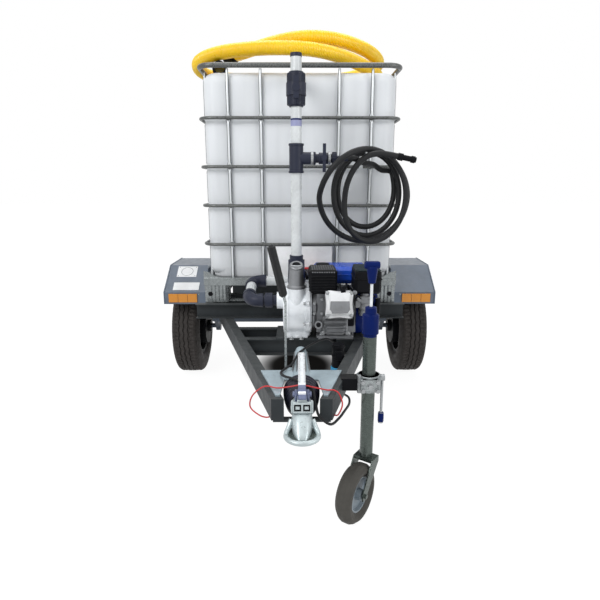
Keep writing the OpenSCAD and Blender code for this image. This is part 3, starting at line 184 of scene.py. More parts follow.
class Finish:
    """A node material under construction."""

    def __init__(self, name, roughness=0.5, metallic=0.0, **sockets):
        self.material = bpy.data.materials.new(name)
        self.material.use_nodes = True
        self.tree = self.material.node_tree
        self.shader = self.tree.nodes["Principled BSDF"]
        for socket, value in dict(Roughness=roughness, Metallic=metallic, **sockets).items():
            self.shader.inputs[socket.replace("_", " ")].default_value = value
        self.place = self.node("ShaderNodeTexCoord").outputs["Object"]

    def node(self, kind, inputs=(), **settings):
        return add_node(self.tree, kind, inputs, **settings)

    def noise(self, scale, detail=3.0, stretch=None):
        """Value of a noise with that many lumps to a metre."""
        where = self.place
        if stretch:
            where = self.node("ShaderNodeMapping", {"Vector": where, "Scale": stretch}).outputs["Vector"]
        return self.node(
            "ShaderNodeTexNoise", {"Vector": where, "Scale": scale, "Detail": detail, "Roughness": 0.55}
        ).outputs["Fac"]

    def cells(self, scale):
        """Value of irregular cells, one random grey in each."""
        cell = self.node("ShaderNodeTexVoronoi", {"Vector": self.place, "Scale": scale})
        return self.node("ShaderNodeSeparateColor", {"Color": cell.outputs["Color"]}).outputs["Red"]

    def between(self, value, low, high, to_low=0.0, to_high=1.0):
        return self.node(
            "ShaderNodeMapRange",
            {"Value": value, "From Min": low, "From Max": high, "To Min": to_low, "To Max": to_high},
        ).outputs["Result"]

    def mix(self, value, *tints):
        first, second = (t if isinstance(t, NodeSocket) else (*t, 1.0) for t in tints)
        inputs = {"Factor": value, MIX_A: first, MIX_B: second}
        return self.node("ShaderNodeMix", inputs, data_type="RGBA").outputs[MIX_OUT]

    def mottle(self, value, tint, dark, light, low=0.3, high=0.7):
        """The tint, from darker to lighter as the value goes from low to high."""
        return self.mix(self.between(value, low, high), shade(tint, dark), shade(tint, light))

    def part(self, vector, axis):
        return self.node("ShaderNodeSeparateXYZ", {"Vector": vector}).outputs[axis]

    def facing(self, axis):
        """How far the surface faces along an axis, from -1 to 1."""
        return self.part(self.node("ShaderNodeNewGeometry").outputs["Normal"], axis)

    def paint(self, value):
        self.tree.links.new(value, self.shader.inputs["Base Color"])

    def roughen(self, value, low, high):
        self.tree.links.new(self.between(value, 0.3, 0.7, low, high), self.shader.inputs["Roughness"])

    def relief(self, value, distance, strength=1.0, rounding=0.0):
        """Bumps of that depth in metres, on edges that are rounded in the shading."""
        bump = self.node("ShaderNodeBump", {"Height": value, "Distance": distance, "Strength": strength})
        if rounding:
            edge = self.node("ShaderNodeBevel", {"Radius": rounding}, samples=4)
            self.tree.links.new(edge.outputs["Normal"], bump.inputs["Normal"])
        self.tree.links.new(bump.outputs["Normal"], self.shader.inputs["Normal"])
        return self.material


def painted(name, tint, roughness, dust=0.12, shine=0.4):
    """Sprayed paint with orange peel, slight mottling and dust on what faces up."""
    f = Finish(name, roughness, Specular_IOR_Level=shine)
    upward = f.between(f.facing("Z"), 0.5, 1.0, 0, dust)
    dusty = f.node("ShaderNodeMath", {0: upward, 1: f.noise(40)}, operation="MULTIPLY").outputs["Value"]
    f.paint(f.mix(dusty, f.mottle(f.noise(9), tint, 0.9, 1.1, 0.35, 0.65), (0.45, 0.44, 0.41)))
    f.roughen(f.noise(22), roughness - 0.06, roughness + 0.1)
    return f.relief(f.noise(420, 2), 0.0003, 0.35, 0.0015)


def galvanised(name, tint, scale=120):
    """Zinc with spangle and slight streaks."""
    f = Finish(name, 0.38, 0.7)
    spangle = f.mottle(f.cells(scale), tint, 0.86, 1.1, 0, 1)
    f.paint(f.mix(f.between(f.noise(7), 0.4, 0.75, 0, 0.5), spangle, shade(tint, 0.62)))
    f.roughen(f.cells(scale * 1.7), 0.26, 0.46)
    return f.relief(f.noise(300), 0.0002, 0.4, 0.001)


def cast(name, tint, roughness=0.42, metallic=0.75):
    """Sand-cast alloy, slightly grainy, with dark specks."""
    f = Finish(name, roughness, metallic)
    body = f.mottle(f.noise(14), tint, 0.84, 1.06)
    f.paint(f.mix(f.between(f.noise(60, 5), 0.55, 0.8, 0, 0.35), body, shade(tint, 0.5)))
    f.roughen(f.noise(90), roughness - 0.08, roughness + 0.14)
    return f.relief(f.noise(900, 4), 0.0006, 0.45, 0.002)


def tube_with_painted_shading(name, front, side):
    """Zinc with a painted highlight on the faces along the trailer and painted shade on those across it."""
    f = Finish(name, 0.34, 0.35)
    painted_shade_share = f.node("ShaderNodeMath", {0: f.facing("X")}, operation="ABSOLUTE").outputs["Value"]
    f.paint(f.mix(f.between(painted_shade_share, 0.4, 0.75), front, side))
    f.roughen(f.noise(60), 0.28, 0.42)
    return f.relief(f.noise(300), 0.0002, 0.4)


def moulded(name, tint, roughness=0.4, grain=600, depth=0.0002, **sockets):
    """Moulded plastic with a fine skin."""
    f = Finish(name, roughness, **sockets)
    f.paint(f.mottle(f.noise(18), tint, 0.9, 1.08))
    f.roughen(f.noise(70), roughness - 0.07, roughness + 0.1)
    return f.relief(f.noise(grain, 3), depth, 0.4, 0.0015)


def bottle_plastic(tint):
    """Blown bottle: light passes, with faint flow streaks and a darker foot."""
    f = Finish(
        "bottle_plastic", 0.42, Subsurface_Weight=0.25, Subsurface_Scale=0.05,
        Subsurface_Radius=(1.0, 1.0, 0.95), Specular_IOR_Level=0.35,
    )
    streak = f.mottle(f.noise(3, 2, (4, 4, 0.6)), tint, 0.93, 1.03, 0.35, 0.7)
    f.paint(f.mix(f.between(f.part(f.place, "Z"), 0.7, 1.25, 0.16, 0.0), streak, shade(tint, 0.72)))
    f.roughen(f.noise(12), 0.36, 0.5)
    return f.relief(f.noise(55, 3), 0.0012, 0.25, 0.006)


def tyre_rubber(tint):
    """Road tyre with a dusty tread."""
    f = Finish("tyre_rubber", 0.72, Specular_IOR_Level=0.3)
    dust = f.between(f.noise(110, 4), 0.55, 0.8, 0, 0.3)
    f.paint(f.mix(dust, f.mottle(f.noise(25), tint, 0.8, 1.15), (0.11, 0.09, 0.075)))
    f.roughen(f.noise(60), 0.62, 0.85)
    return f.relief(f.noise(700, 4), 0.0005, 0.5)


def hose_plastic(tint):
    """Glossy plastic of the ribbed hose."""
    f = Finish(
        "hose_plastic", 0.3, Coat_Weight=0.2, Coat_Roughness=0.15, Subsurface_Weight=0.08, Subsurface_Scale=0.01
    )
    f.paint(f.mottle(f.noise(11), tint, 0.93, 1.05))
    f.roughen(f.noise(50), 0.24, 0.38)
    return f.relief(f.noise(350, 2), 0.0002, 0.3)


def lens_plastic(name, tint):
    """Moulded reflector with small prisms."""
    f = Finish(name, 0.18, Coat_Weight=0.4, Coat_Roughness=0.08)
    prism = f.node("ShaderNodeTexVoronoi", {"Vector": f.place, "Scale": 150, "Randomness": 0.0})
    value = prism.outputs["Distance"]
    f.paint(f.mottle(value, tint, 1.12, 0.8, 0, 0.6))
    f.roughen(value, 0.12, 0.3)
    return f.relief(value, 0.0008, 0.5, 0.001)


FINISHES = {}


def make_finishes():
    c = bpy.context.scene.bowser_colours
    FINISHES.update(
        chassis=painted("chassis_paint", shade(c.chassis, 0.75), 0.5, shine=0.25),
        guard=painted("guard_paint", c.guard, 0.36, 0.2),
        axle=painted("axle_paint", shade(c.guard, 0.6), 0.5, 0.25),
        zinc=galvanised("zinc", c.zinc),
        cage=galvanised("cage_zinc", ink(100, 102, 101), 160),
        foot=galvanised("foot_zinc", shade(c.zinc, 0.72), 90),
        tube=galvanised("tube_zinc", ink(86, 94, 90), 140),
        coupling=cast("coupling_zinc", ink(190, 201, 203), 0.32, 0.45),
        bottle=bottle_plastic(c.bottle),
        hose=hose_plastic(c.hose),
        dark_pipe=moulded("dark_pipe", c.dark_pipe, 0.42, Specular_IOR_Level=0.25),
        pale_pipe=moulded("pale_pipe", c.pale_pipe, 0.28, 200, 0.0001, Coat_Weight=0.15),
        black=moulded("black_plastic", c.black, 0.5, Specular_IOR_Level=0.1),
        black_paint=painted("black_paint", c.black, 0.5, 0.08, 0.1),
        rubber=moulded("rubber", c.rubber, 0.5, 800, 0.0003, Specular_IOR_Level=0.25),
        tyre=tyre_rubber(c.tyre),
        grey_tyre=moulded("grey_tyre", ink(78, 76, 72), 0.7, 500, 0.0005, Specular_IOR_Level=0.2),
        alloy=cast("cast_alloy", c.alloy),
        pump=cast("pump_paint", ink(240, 244, 248), 0.36, 0.3),
        steel=galvanised("machined_steel", ink(168, 171, 173), 400),
        cover=painted("cover_paint", c.cover, 0.3, 0.05),
        navy=moulded("navy_plastic", c.navy, 0.36, 500, 0.0002, Specular_IOR_Level=0.08),
        tank_blue=painted("tank_paint", c.tank_blue, 0.22, 0.06),
        amber=lens_plastic("amber_lens", c.amber),
        red=lens_plastic("red_lens", c.red),
        red_plastic=moulded("red_plastic", c.red, 0.38),
        cyan=moulded("cyan_plastic", c.cyan, 0.36),
        plate=painted("plate_white", c.plate, 0.32, 0.04),
        rim=moulded("rim_plastic", ink(138, 149, 157), 0.42),
        bellows=moulded("bellows_rubber", ink(34, 34, 46), 0.36, 500, 0.0003, Specular_IOR_Level=0.3),
        blued=cast("blued_steel", ink(112, 120, 150), 0.4, 0.3),
        filter_lid=moulded("filter_lid", ink(38, 48, 52), 0.48, Specular_IOR_Level=0.15),
        # Cage uprights: painted highlight on faces along the trailer, painted shade on faces across it
        upright=tube_with_painted_shading("upright_zinc_painted_shading", ink(222, 226, 228), ink(84, 88, 92)),
        bright=cast("bright_zinc", ink(236, 239, 242), 0.3, 0.2),
        wing=cast("housing_alloy", ink(172, 188, 196), 0.42, 0.25),
        lavender=moulded("lavender_plastic", ink(150, 154, 192), 0.4),
    )


# The solids that keep their own shape
DRESSED = {
    "chassis": "side_rails cross_members drawbar_legs",
    "axle": "axle_beam arm_left arm_right",
    "guard": "mudguards",
    "amber": "front_reflectors",
    "red": "rear_lamps",
    "plate": "blank_plates",
    "foot": "pallet_base",
    "cage": "cage_rings",
    "bottle": "tank_bottle",
    "black": "outlet_valve tank_lid plug_holder recoil_grip suction_couplings delivery_nozzle",
    "pale_pipe": "pvc_pipes",
    "dark_pipe": "pvc_fittings valve_bodies riser_handle branch_handle",
    "pump": "pump_casing",
    "alloy": "engine_crankcase engine_cylinder carburettor",
    "black_paint": "jockey_clamp wheel_left wheel_right",
    "navy": "blower_housing",
    "zinc": "handbrake_lever",
    "bright": "coupling_lever",
    "tube": "jockey_outer_tube jockey_inner_tube jockey_fork",
    "grey_tyre": "jockey_tyre",
    "rim": "jockey_rim",
    "steel": "clamp_handle pump_rotor",
    "red_plastic": "outlet_lever",
}


# Shapes


class Shape:
    """Faces gathered in metres, made into one object in the end."""

    def __init__(self):
        self.points = []
        self.faces = []
        self.paints = []
        self.paint = 0

    def add(self, points, faces):
        base = len(self.points)
        self.points += points
        self.faces += [[base + i for i in face] for face in faces]
        self.paints += [self.paint] * len(faces)

    def skin(self, rows, closed=True, ends="both", looped=False):
        """Faces between rows of points; ends is both, last or none."""
        n, count = len(rows[0]), len(rows)
        faces = []
        for i in range(count if looped else count - 1):
            a, b = i * n, (i + 1) % count * n
            faces += [[a + k, a + (k + 1) % n, b + (k + 1) % n, b + k] for k in range(n if closed else n - 1)]
        if ends == "both":
            faces.append(list(reversed(range(n))))
        if ends != "none":
            faces.append(list(range((count - 1) * n, count * n)))
        self.add([p for row in rows for p in row], faces)

    def make(self, name, finish, body="trailer", slot=None, sharp=32.0, stands_for=None):
        """One object of all the faces, riding on a body; slot is not used."""
        finishes = finish.split()
        mesh = bpy.data.meshes.new(name)
        mesh.from_pydata([tuple(p) for p in self.points], [], self.faces)
        for key in finishes:
            mesh.materials.append(FINISHES[key])
        mesh.polygons.foreach_set("material_index", self.paints)
        mesh.shade_smooth()
        mesh.set_sharp_from_angle(angle=math.radians(sharp))
        mesh.update()
        piece = bpy.data.objects.new(name, mesh)
        bpy.context.collection.objects.link(piece)
        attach(piece, body)
        if stands_for:
            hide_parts(stands_for)
        return piece


def circle(sides):
    """Cosine and sine of equal steps round a circle."""
    return [(math.cos(2 * math.pi * k / sides), math.sin(2 * math.pi * k / sides)) for k in range(sides)]


def squared(value, power):
    """A cosine or sine bent so that a round becomes a rounded square."""
    return math.copysign(abs(value) ** power, value)


def square_to(axis):
    """Two directions square to an axis and to each other."""
    axis = Vector(axis).normalized()
    first = axis.orthogonal().normalized()
    if abs(axis.z) < 0.99:
        first = axis.cross(Z_AXIS).normalized()
    return first, axis.cross(first).normalized()


def around(axis, sides):
    """Directions square to an axis, in equal steps."""
    u, v = square_to(axis)
    return [u * c + v * s for c, s in circle(sides)]


def turned(shape, origin, axis, profile, sides=32, ends="both"):
    """A turned form: profile pairs of radius and distance along the axis, in millimetres."""
    axis = Vector(axis).normalized()
    spokes = around(axis, sides)
    rows = [[origin + axis * along * MM + out * max(radius, 0.01) * MM for out in spokes] for radius, along in profile]
    shape.skin(rows, ends=ends)


def swept(shape, route, radius, sides=12, start=None):
    """A tube along a route in metres; radius in metres, one value or one for each point."""
    count = len(route)
    radii = radius if isinstance(radius, list) else [radius] * count
    tangents = [(route[min(i + 1, count - 1)] - route[max(i - 1, 0)]).normalized() for i in range(count)]
    normal = (start or square_to(tangents[0])[0]).copy()
    spokes, rows = circle(sides), []
    for p, t, r in zip(route, tangents, radii):
        normal = (normal - t * normal.dot(t)).normalized()
        side = t.cross(normal)
        rows.append([p + (normal * c + side * s) * r for c, s in spokes])
    shape.skin(rows)


CORNERS = tuple(product((-1, 1), repeat=3))
SQUARE = ((-1, -1), (1, -1), (1, 1), (-1, 1))


def block(shape, centre, size, chamfer=2.0, turn=None):
    """A chamfered block; size and chamfer in millimetres, centre in metres."""
    half = [s / 2 * MM for s in size]
    cut = min(chamfer * MM, min(half) * 0.9)
    spin = turn or Matrix.Identity(3)
    points, index = [], {}
    for corner in CORNERS:
        for axis in range(3):
            p = Vector([s * (h if k == axis else h - cut) for k, (s, h) in enumerate(zip(corner, half))])
            index[(*corner, axis)] = len(points)
            points.append(centre + spin @ p)

    def point(axis, signs, face_axis):
        corner = [0, 0, 0]
        for k, sign in enumerate(signs):
            corner[(axis + k) % 3] = sign
        return index[(*corner, face_axis)]

    faces = []
    for axis in range(3):
        b, c = (axis + 1) % 3, (axis + 2) % 3
        for s in (-1, 1):
            faces.append([point(axis, (s, i, j), axis) for i, j in SQUARE][::s])
        for i, j in SQUARE:
            edge = ((-1, b), (1, b), (1, c), (-1, c))
            faces.append([point(axis, (s, i, j), side) for s, side in edge][:: i * j])
    for corner in CORNERS:
        faces.append([index[(*corner, axis)] for axis in range(3)][:: math.prod(corner)])
    shape.add(points, faces)


def blocks(shape, *rows, turn=None):
    """Chamfered blocks: each row a centre, a size and a chamfer, in millimetres."""
    for x, y, z, *size, chamfer in rows:
        block(shape, at(x, y, z), size, chamfer, turn)


def plate(shape, outline, thickness, origin, spin=Matrix.Identity(3)):
    """A flat plate: outline pairs and thickness in millimetres, origin in metres."""
    shape.skin([[origin + spin @ Vector((x, y, z)) * MM for x, y in outline] for z in (0, thickness)])


def bolt(shape, origin, axis, across=13.0, height=7.0):
    """A hexagon head on a washer."""
    turned(shape, origin, axis, [(across * 0.72, 0), (across * 0.72, 1.4), (across * 0.5, 1.5)], 20)
    rise = origin + Vector(axis).normalized() * 1.3 * MM
    radius = across / 2 / math.cos(math.pi / 6)
    turned(shape, rise, axis, [(radius, 0), (radius, height - 1), (radius * 0.86, height)], 6)


def bolts_at(shape, axis, across, height, *points):
    for point in points:
        bolt(shape, at(*point), axis, across, height)


# Routes


def lookup(u, table):
    """Straight-line value of a table of pairs."""
    if u <= table[0][0]:
        return table[0][1]
    for (a, x), (b, y) in zip(table, table[1:]):
        if u <= b:
            return x + (y - x) * (u - a) / (b - a)
    return table[-1][1]


def soft(u, table):
    """Value of a table with its corners rounded."""
    return sum(lookup(u + step, table) for step in (-18, -9, 0, 9, 18)) / 5


def route_length(route):
    return sum((b - a).length for a, b in zip(route, route[1:]))


def curve_through(points, steps):
    """Smooth curve through given points."""
    last = len(points) - 1
    route = []
    for i in range(last):
        a, b = points[max(i - 1, 0)], points[i]
        c, d = points[i + 1], points[min(i + 2, last)]
        for s in range(steps):
            t = s / steps
            route.append(
                0.5 * (2 * b + (c - a) * t + (2 * a - 5 * b + 4 * c - d) * t**2 + (3 * b - a - 3 * c + d) * t**3)
            )
    return route + [points[last]]


def evenly(route, step):
    """The same route with points at equal distances."""
    total = route_length(route)
    count = max(2, round(total / step))
    made, i, done = [route[0]], 0, 0.0
    for k in range(1, count):
        want = total * k / count
        while done + (route[i + 1] - route[i]).length < want:
            done += (route[i + 1] - route[i]).length
            i += 1
        span = (route[i + 1] - route[i]).length
        made.append(route[i].lerp(route[i + 1], (want - done) / span))
    return made + [route[-1]]


# The suction hose's two turns, by the angle that it has gone round
SUCTION_REACH_X = (
    (0, 432), (300, 432), (330, 470), (352, 570), (365, 565), (380, 525), (400, 500), (490, 432), (665, 432),
    (705, 400),
)
SUCTION_MIDDLE_X = ((0, -2), (300, -2), (350, -28), (410, -28), (500, -2))
SUCTION_REACH_Y = ((0, 400), (600, 400), (640, 345), (680, 315), (705, 270))
SUCTION_HEIGHT = (
    (0, 1775.3), (225, 1775.3), (262, 1790), (288, 1838), (318, 1843), (340, 1854), (360, 1845), (380, 1818),
    (400, 1810), (425, 1826), (450, 1848), (585, 1852), (610, 1864), (630, 1892), (650, 1914), (672, 1906),
    (690, 1884), (700, 1872), (705, 1870),
)
SUCTION_FROM, SUCTION_TO = 28.0, 705.0
SUCTION_LEAD, SUCTION_TAIL = 190.0, 80.0
# Radius of the hose over one rib, and the points at each end that have no ribs
RIB_WAVE = (1.0, 0.975, 0.91, 0.975)
PLAIN_END, PLAIN_RADIUS = 24, 0.97


def suction_point(u):
    a = math.radians(215 - u)
    return at(
        soft(u, SUCTION_MIDDLE_X) + soft(u, SUCTION_REACH_X) * math.cos(a),
        430 + soft(u, SUCTION_REACH_Y) * math.sin(a),
        soft(u, SUCTION_HEIGHT),
    )


def suction_route():
    """Two oval turns on the tank top with straight ends."""
    first, last = suction_point(SUCTION_FROM), suction_point(SUCTION_TO)
    out = (first - suction_point(SUCTION_FROM + 0.5)).normalized()
    on = (last - suction_point(SUCTION_TO - 0.5)).normalized()
    lead = [first + out * SUCTION_LEAD * MM * (1 - i / 12) for i in range(12)]
    turns = [suction_point(SUCTION_FROM + (SUCTION_TO - SUCTION_FROM) * i / 600) for i in range(601)]
    return lead + turns + [last + on * SUCTION_TAIL * MM * i / 6 for i in range(1, 7)]


# The delivery hose's loops, by the angle that it has gone round
LOOP_RIGHT = ((90, 456), (450, 475), (810, 508), (1170, 490))
LOOP_LEFT = ((270, 182), (630, 160), (990, 86), (1350, 203))
LOOP_TOP = ((360, 1361), (720, 1361.5), (1080, 1365), (1440, 1345))
LOOP_LOW = ((180, 1010), (540, 970), (900, 948), (1260, 950))
LOOP_Y = (
    (0, -62), (360, -90), (720, -122), (940, -150), (985, -230), (1010, -292), (1025, -316), (1045, -316),
    (1062, -290), (1080, -242), (1098, -205), (1120, -182), (1260, -190), (1350, -222), (1390, -264), (1440, -252),
)
LOOP_LEAD = ((212.3, -250, 1324), (238.3, -250, 1324), (290, -200, 1308), (345, -120, 1302), (390, -82, 1280))
LOOP_END = ((374, -250, 1343), (407, -250, 1338), (432, -250, 1333))


def loop_point(w):
    def between(high, low, t):
        return (high + low) / 2 + (high - low) / 2 * t

    a = math.radians(w)
    return at(
        between(lookup(w, LOOP_RIGHT), lookup(w, LOOP_LEFT), math.sin(a)),
        lookup(w, LOOP_Y),
        between(lookup(w, LOOP_TOP), lookup(w, LOOP_LOW), math.cos(a)),
    )


def delivery_route():
    """Four hung loops from the branch valve to the nozzle."""
    points = places(LOOP_LEAD) + [loop_point(15 * i) for i in range(4, 97)] + places(LOOP_END)
    return evenly(curve_through(points, 6), 0.006)


CABLE_POINTS = (
    (152, -606, 424.5), (152, -606, 411), (156, -622, 394), (170, -658, 388), (186, -722, 400), (180, -800, 410),
    (153, -900, 430), (124, -982, 441), (92, -1047, 455), (56, -1047, 484), (46, -1020, 510), (36, -988, 547),
    (2, -962, 563), (-34, -928, 565), (-60, -888, 557), (-74, -838, 549), (-60, -800, 550), (-36, -764, 554),
    (-22, -716, 558), (-2, -650, 564), (60, -560, 572), (112, -490, 566), (150, -445, 531), (150, -427, 531),
)
BREAKAWAY_POINTS = (
    (-104, -984, 459.2), (-104, -984, 453), (-120, -981, 447), (-146, -972, 452), (-176, -952, 472),
    (-168, -940, 508), (-126, -952, 546), (-80, -972, 549), (-36, -986, 560), (0, -990, 567), (40, -988, 558),
    (82, -984, 547), (106, -986, 547), (124, -989, 535), (135, -996, 500), (121.05, -1007.93, 470),
    (108.4, -1004.2, 466),
)


def lay_cord(name, node, finish, route, diameter, sides, radii=None, start=None, sharp=60, path=None, **facts):
    """A cord along a route, in place of its solid."""
    shape = Shape()
    swept(shape, route, radii or diameter / 2, sides, start)
    piece = shape.make(name, finish, sharp=sharp, stands_for=node)


# Operators

CAMERA_PLACE = (-0.015, -2.537, 1.209)
CAMERA_TURN = (math.radians(76.71), 0, math.radians(-0.35))
SENSOR_WIDTH = 36


class BOWSER_OT_camera(Operator):
    """Stand the camera where the trailer is seen from its coupling end"""

    bl_idname = "bowser.camera"
    bl_label = "Camera"

    def execute(self, context):
        lens = bpy.data.cameras.new("view")
        lens.sensor_width = SENSOR_WIDTH
        lens.lens = sizes().lens
        lens.clip_end = 60
        camera = bpy.data.objects.new("view", lens)
        camera.location = CAMERA_PLACE
        camera.rotation_euler = CAMERA_TURN
        context.collection.objects.link(camera)
        context.scene.camera = camera
        return {"FINISHED"}


class BOWSER_OT_finishes(Operator):
    """Mix the finishes and put them on the solids that keep their own shape"""

    bl_idname = "bowser.finishes"
    bl_label = "Finishes"

    def execute(self, context):
        make_finishes()
        for finish, nodes in DRESSED.items():
            for node in nodes.split():
                mesh = frame["nodes"][node].data
                mesh.materials.clear()
                mesh.materials.append(FINISHES[finish])
        return {"FINISHED"}


class BOWSER_OT_hoses(Operator):
    """Lay the ribbed suction hose on the tank and hang the delivery hose in loops"""

    bl_idname = "bowser.hoses"
    bl_label = "Hoses"

    def execute(self, context):
        size, nodes = sizes(), frame["nodes"]
        wave = len(RIB_WAVE)
        route = evenly(suction_route(), size.rib / wave)
        ribbed = range(PLAIN_END + 1, len(route) - PLAIN_END)
        radii = [
            size.suction / 2 * (RIB_WAVE[i % wave] if i in ribbed else PLAIN_RADIUS) for i in range(len(route))
        ]
        lay_cord(
            "suction_hose_ribbed", "suction_hose", "hose", route, size.suction, 20, radii, Z_AXIS, 80,
            route[::wave] + [route[-1]], far_end="fitting", stiffness="stiff", lay="coiled",
            with_pieces=[nodes["suction_couplings"]],
        )
        lay_cord(
            "delivery_hose_round", "delivery_hose", "rubber", delivery_route(), size.delivery, 18,
            far_end="fitting", stiffness="stiff", lay="coiled", with_pieces=[nodes["delivery_nozzle"]],
        )
        return {"FINISHED"}


class BOWSER_OT_cables(Operator):
    """Lay the trailer cable and the breakaway cable"""

    bl_idname = "bowser.cables"
    bl_label = "Cables"

    def execute(self, context):
        lead, wire = (curve_through(places(points), 8) for points in (CABLE_POINTS, BREAKAWAY_POINTS))
        lay_cord(
            "trailer_cable_round", "trailer_cable", "rubber", lead, sizes().cable, 12,
            far_end="object", stiffness="medium", lay="loose", with_pieces=[frame["nodes"]["trailer_plug"]],
        )
        lay_cord(
            "breakaway_cable_round", "breakaway_cable", "red_plastic", wire, sizes().breakaway, 10,
            far_end="object", stiffness="limp", lay="loose",
        )
        return {"FINISHED"}


# Radius and place across of the tyre's inner wall; the outer wall mirrors it
TYRE_WALL = [
    (166, -58), (181, -59), (195, -76), (212, -82), (227, -84), (245, -83.5), (258, -80), (272, -76),
    (282, -74), (288, -70), (294, -62), (297, -55),
]
TREAD_PITCH, TREAD_GROOVES = 26, (-27, 0, 27)
TYRE_STEPS = 288


class BOWSER_OT_tyres(Operator):
    """Shape the road tyres with zig-zag grooves and shoulder cuts"""

    bl_idname = "bowser.tyres"
    bl_label = "Road tyres"

    def execute(self, context):
        for side, name in ((-1, "left"), (1, "right")):
            shape = Shape()
            shape.skin(self.rows(side), ends="none", looped=True)
            shape.make("tyre_tread_" + name, "tyre", "wheel_" + name, sharp=40, stands_for="tyre_" + name)
        return {"FINISHED"}

    def groove(self, turn, across):
        """Depth of the tread pattern in millimetres at a place on the tread."""
        along = turn * TYRE_RADIUS / TREAD_PITCH
        zig = 3.2 * (abs(along % 2 - 1) * 2 - 1)
        depth = 0.0
        for middle in TREAD_GROOVES:
            depth = max(depth, 7 - max(0, abs(across - middle - zig) - 2.2) * 5)
        if abs(across) > 34:
            depth = max(depth, 5 - max(0, abs(along % 1 - 0.5) * TREAD_PITCH - 1.6) * 5)
        return depth

    def rows(self, side):
        """Points across the tyre, in rows round it."""
        crown = [(TYRE_RADIUS - 0.0011 * x * x, x) for x in range(-50, 51, 2)]
        profile = TYRE_WALL + crown + [(r, -x) for r, x in reversed(TYRE_WALL)]
        rows = []
        for i in range(TYRE_STEPS):
            a, row = 2 * math.pi * i / TYRE_STEPS, []
            for radius, x in profile[::side]:
                if abs(x) < 66 and radius > 286:
                    radius -= self.groove(a, x)
                elif 250 < radius < 286:
                    radius -= 1.2 * (math.sin(a * 60) > 0.6)
                y, z = radius * math.cos(a), radius * math.sin(a)
                row.append(at(side * (WHEEL_X + x), WHEEL_Y + y, TYRE_RADIUS + z))
            rows.append(row)
        return rows


# Height and inward step of the bottle's skin, and its half sizes inside the round corners
BULGE = (
    (748, 26), (756, 14), (772, 4), (790, 0), (1690, 0), (1712, 3), (1730, 12), (1739, 24), (1742, 44),
)
BULGE_X, BULGE_Y, BULGE_CORNER = 413, 500, 62


class BOWSER_OT_cage(Operator):
    """Shape the bulging bottle, the hose hook and the cage uprights, pinched where the rings cross them"""

    bl_idname = "bowser.cage"
    bl_label = "Cage uprights"

    def execute(self, context):
        self.bulge()
        shape, welds = Shape(), Shape()
        for x, y in product(CAGE_BARS, (26.3, 1173.7)):
            self.upright(shape, x, y, False)
        for y, side in product((120, 360, 600, 840, 1080), (-1, 1)):
            self.upright(shape, side * 473.7, y, True)
        blocks(shape, (300, -3.3, 1316.2, 20, 6, 56, 1))
        hook = [at(300, y, 1338.5) for y in (-5, -60, -120, -176)]
        hook += [at(300, -180 - 14 * math.sin(a), 1352.5 - 14 * math.cos(a)) for a in (0.4, 0.8, 1.2, 1.57)]
        swept(shape, hook + [at(300, -194, 1360)], 0.006)
        shape.make("cage_uprights_pinched", "upright", stands_for="cage_uprights")
        for z, x, y in product(CAGE_RINGS, CAGE_BARS, (17.5, 1182.5)):
            blocks(welds, (x, y, z, 14, 5, 20, 2))
        welds.make("cage_welds", "cage")
        return {"FINISHED"}

    def bulge(self):
        shape, rows = Shape(), []
        for z, inward in BULGE:
            row = []
            for k, (sx, sy) in enumerate(((1, 1), (-1, 1), (-1, -1), (1, -1))):
                for i in range(13):
                    turn = math.pi / 2 * (i / 12 + k)
                    x = sx * (BULGE_X - inward) + BULGE_CORNER * math.cos(turn)
                    row.append(at(x, 600 + sy * (BULGE_Y - inward) + BULGE_CORNER * math.sin(turn), z))
            rows.append(row)
        shape.skin(rows, ends="last")
        shape.make("bottle_bulge", "bottle", sharp=60)

    def upright(self, shape, x, y, on_side):
        sections = [(703, 8.5, 8.5)]
        for z in CAGE_RINGS:
            sections += [(z - 34, 8.5, 8.5), (z - 24, 7, 9), (z - 12, 12, 5.5)]
            sections += [(z + 12, 12, 5.5), (z + 24, 7, 9), (z + 34, 8.5, 8.5)]
        sections += [(1690, 8.5, 8.5), (1715, 8, 7), (1735, 6.5, 6), (1751, 6, 5)]
        rows = []
        for z, *widths in sections:
            wide, deep = reversed(widths) if on_side else widths
            rows.append([at(x + wide * c, y + deep * s, z) for c, s in circle(16)])
        shape.skin(rows)


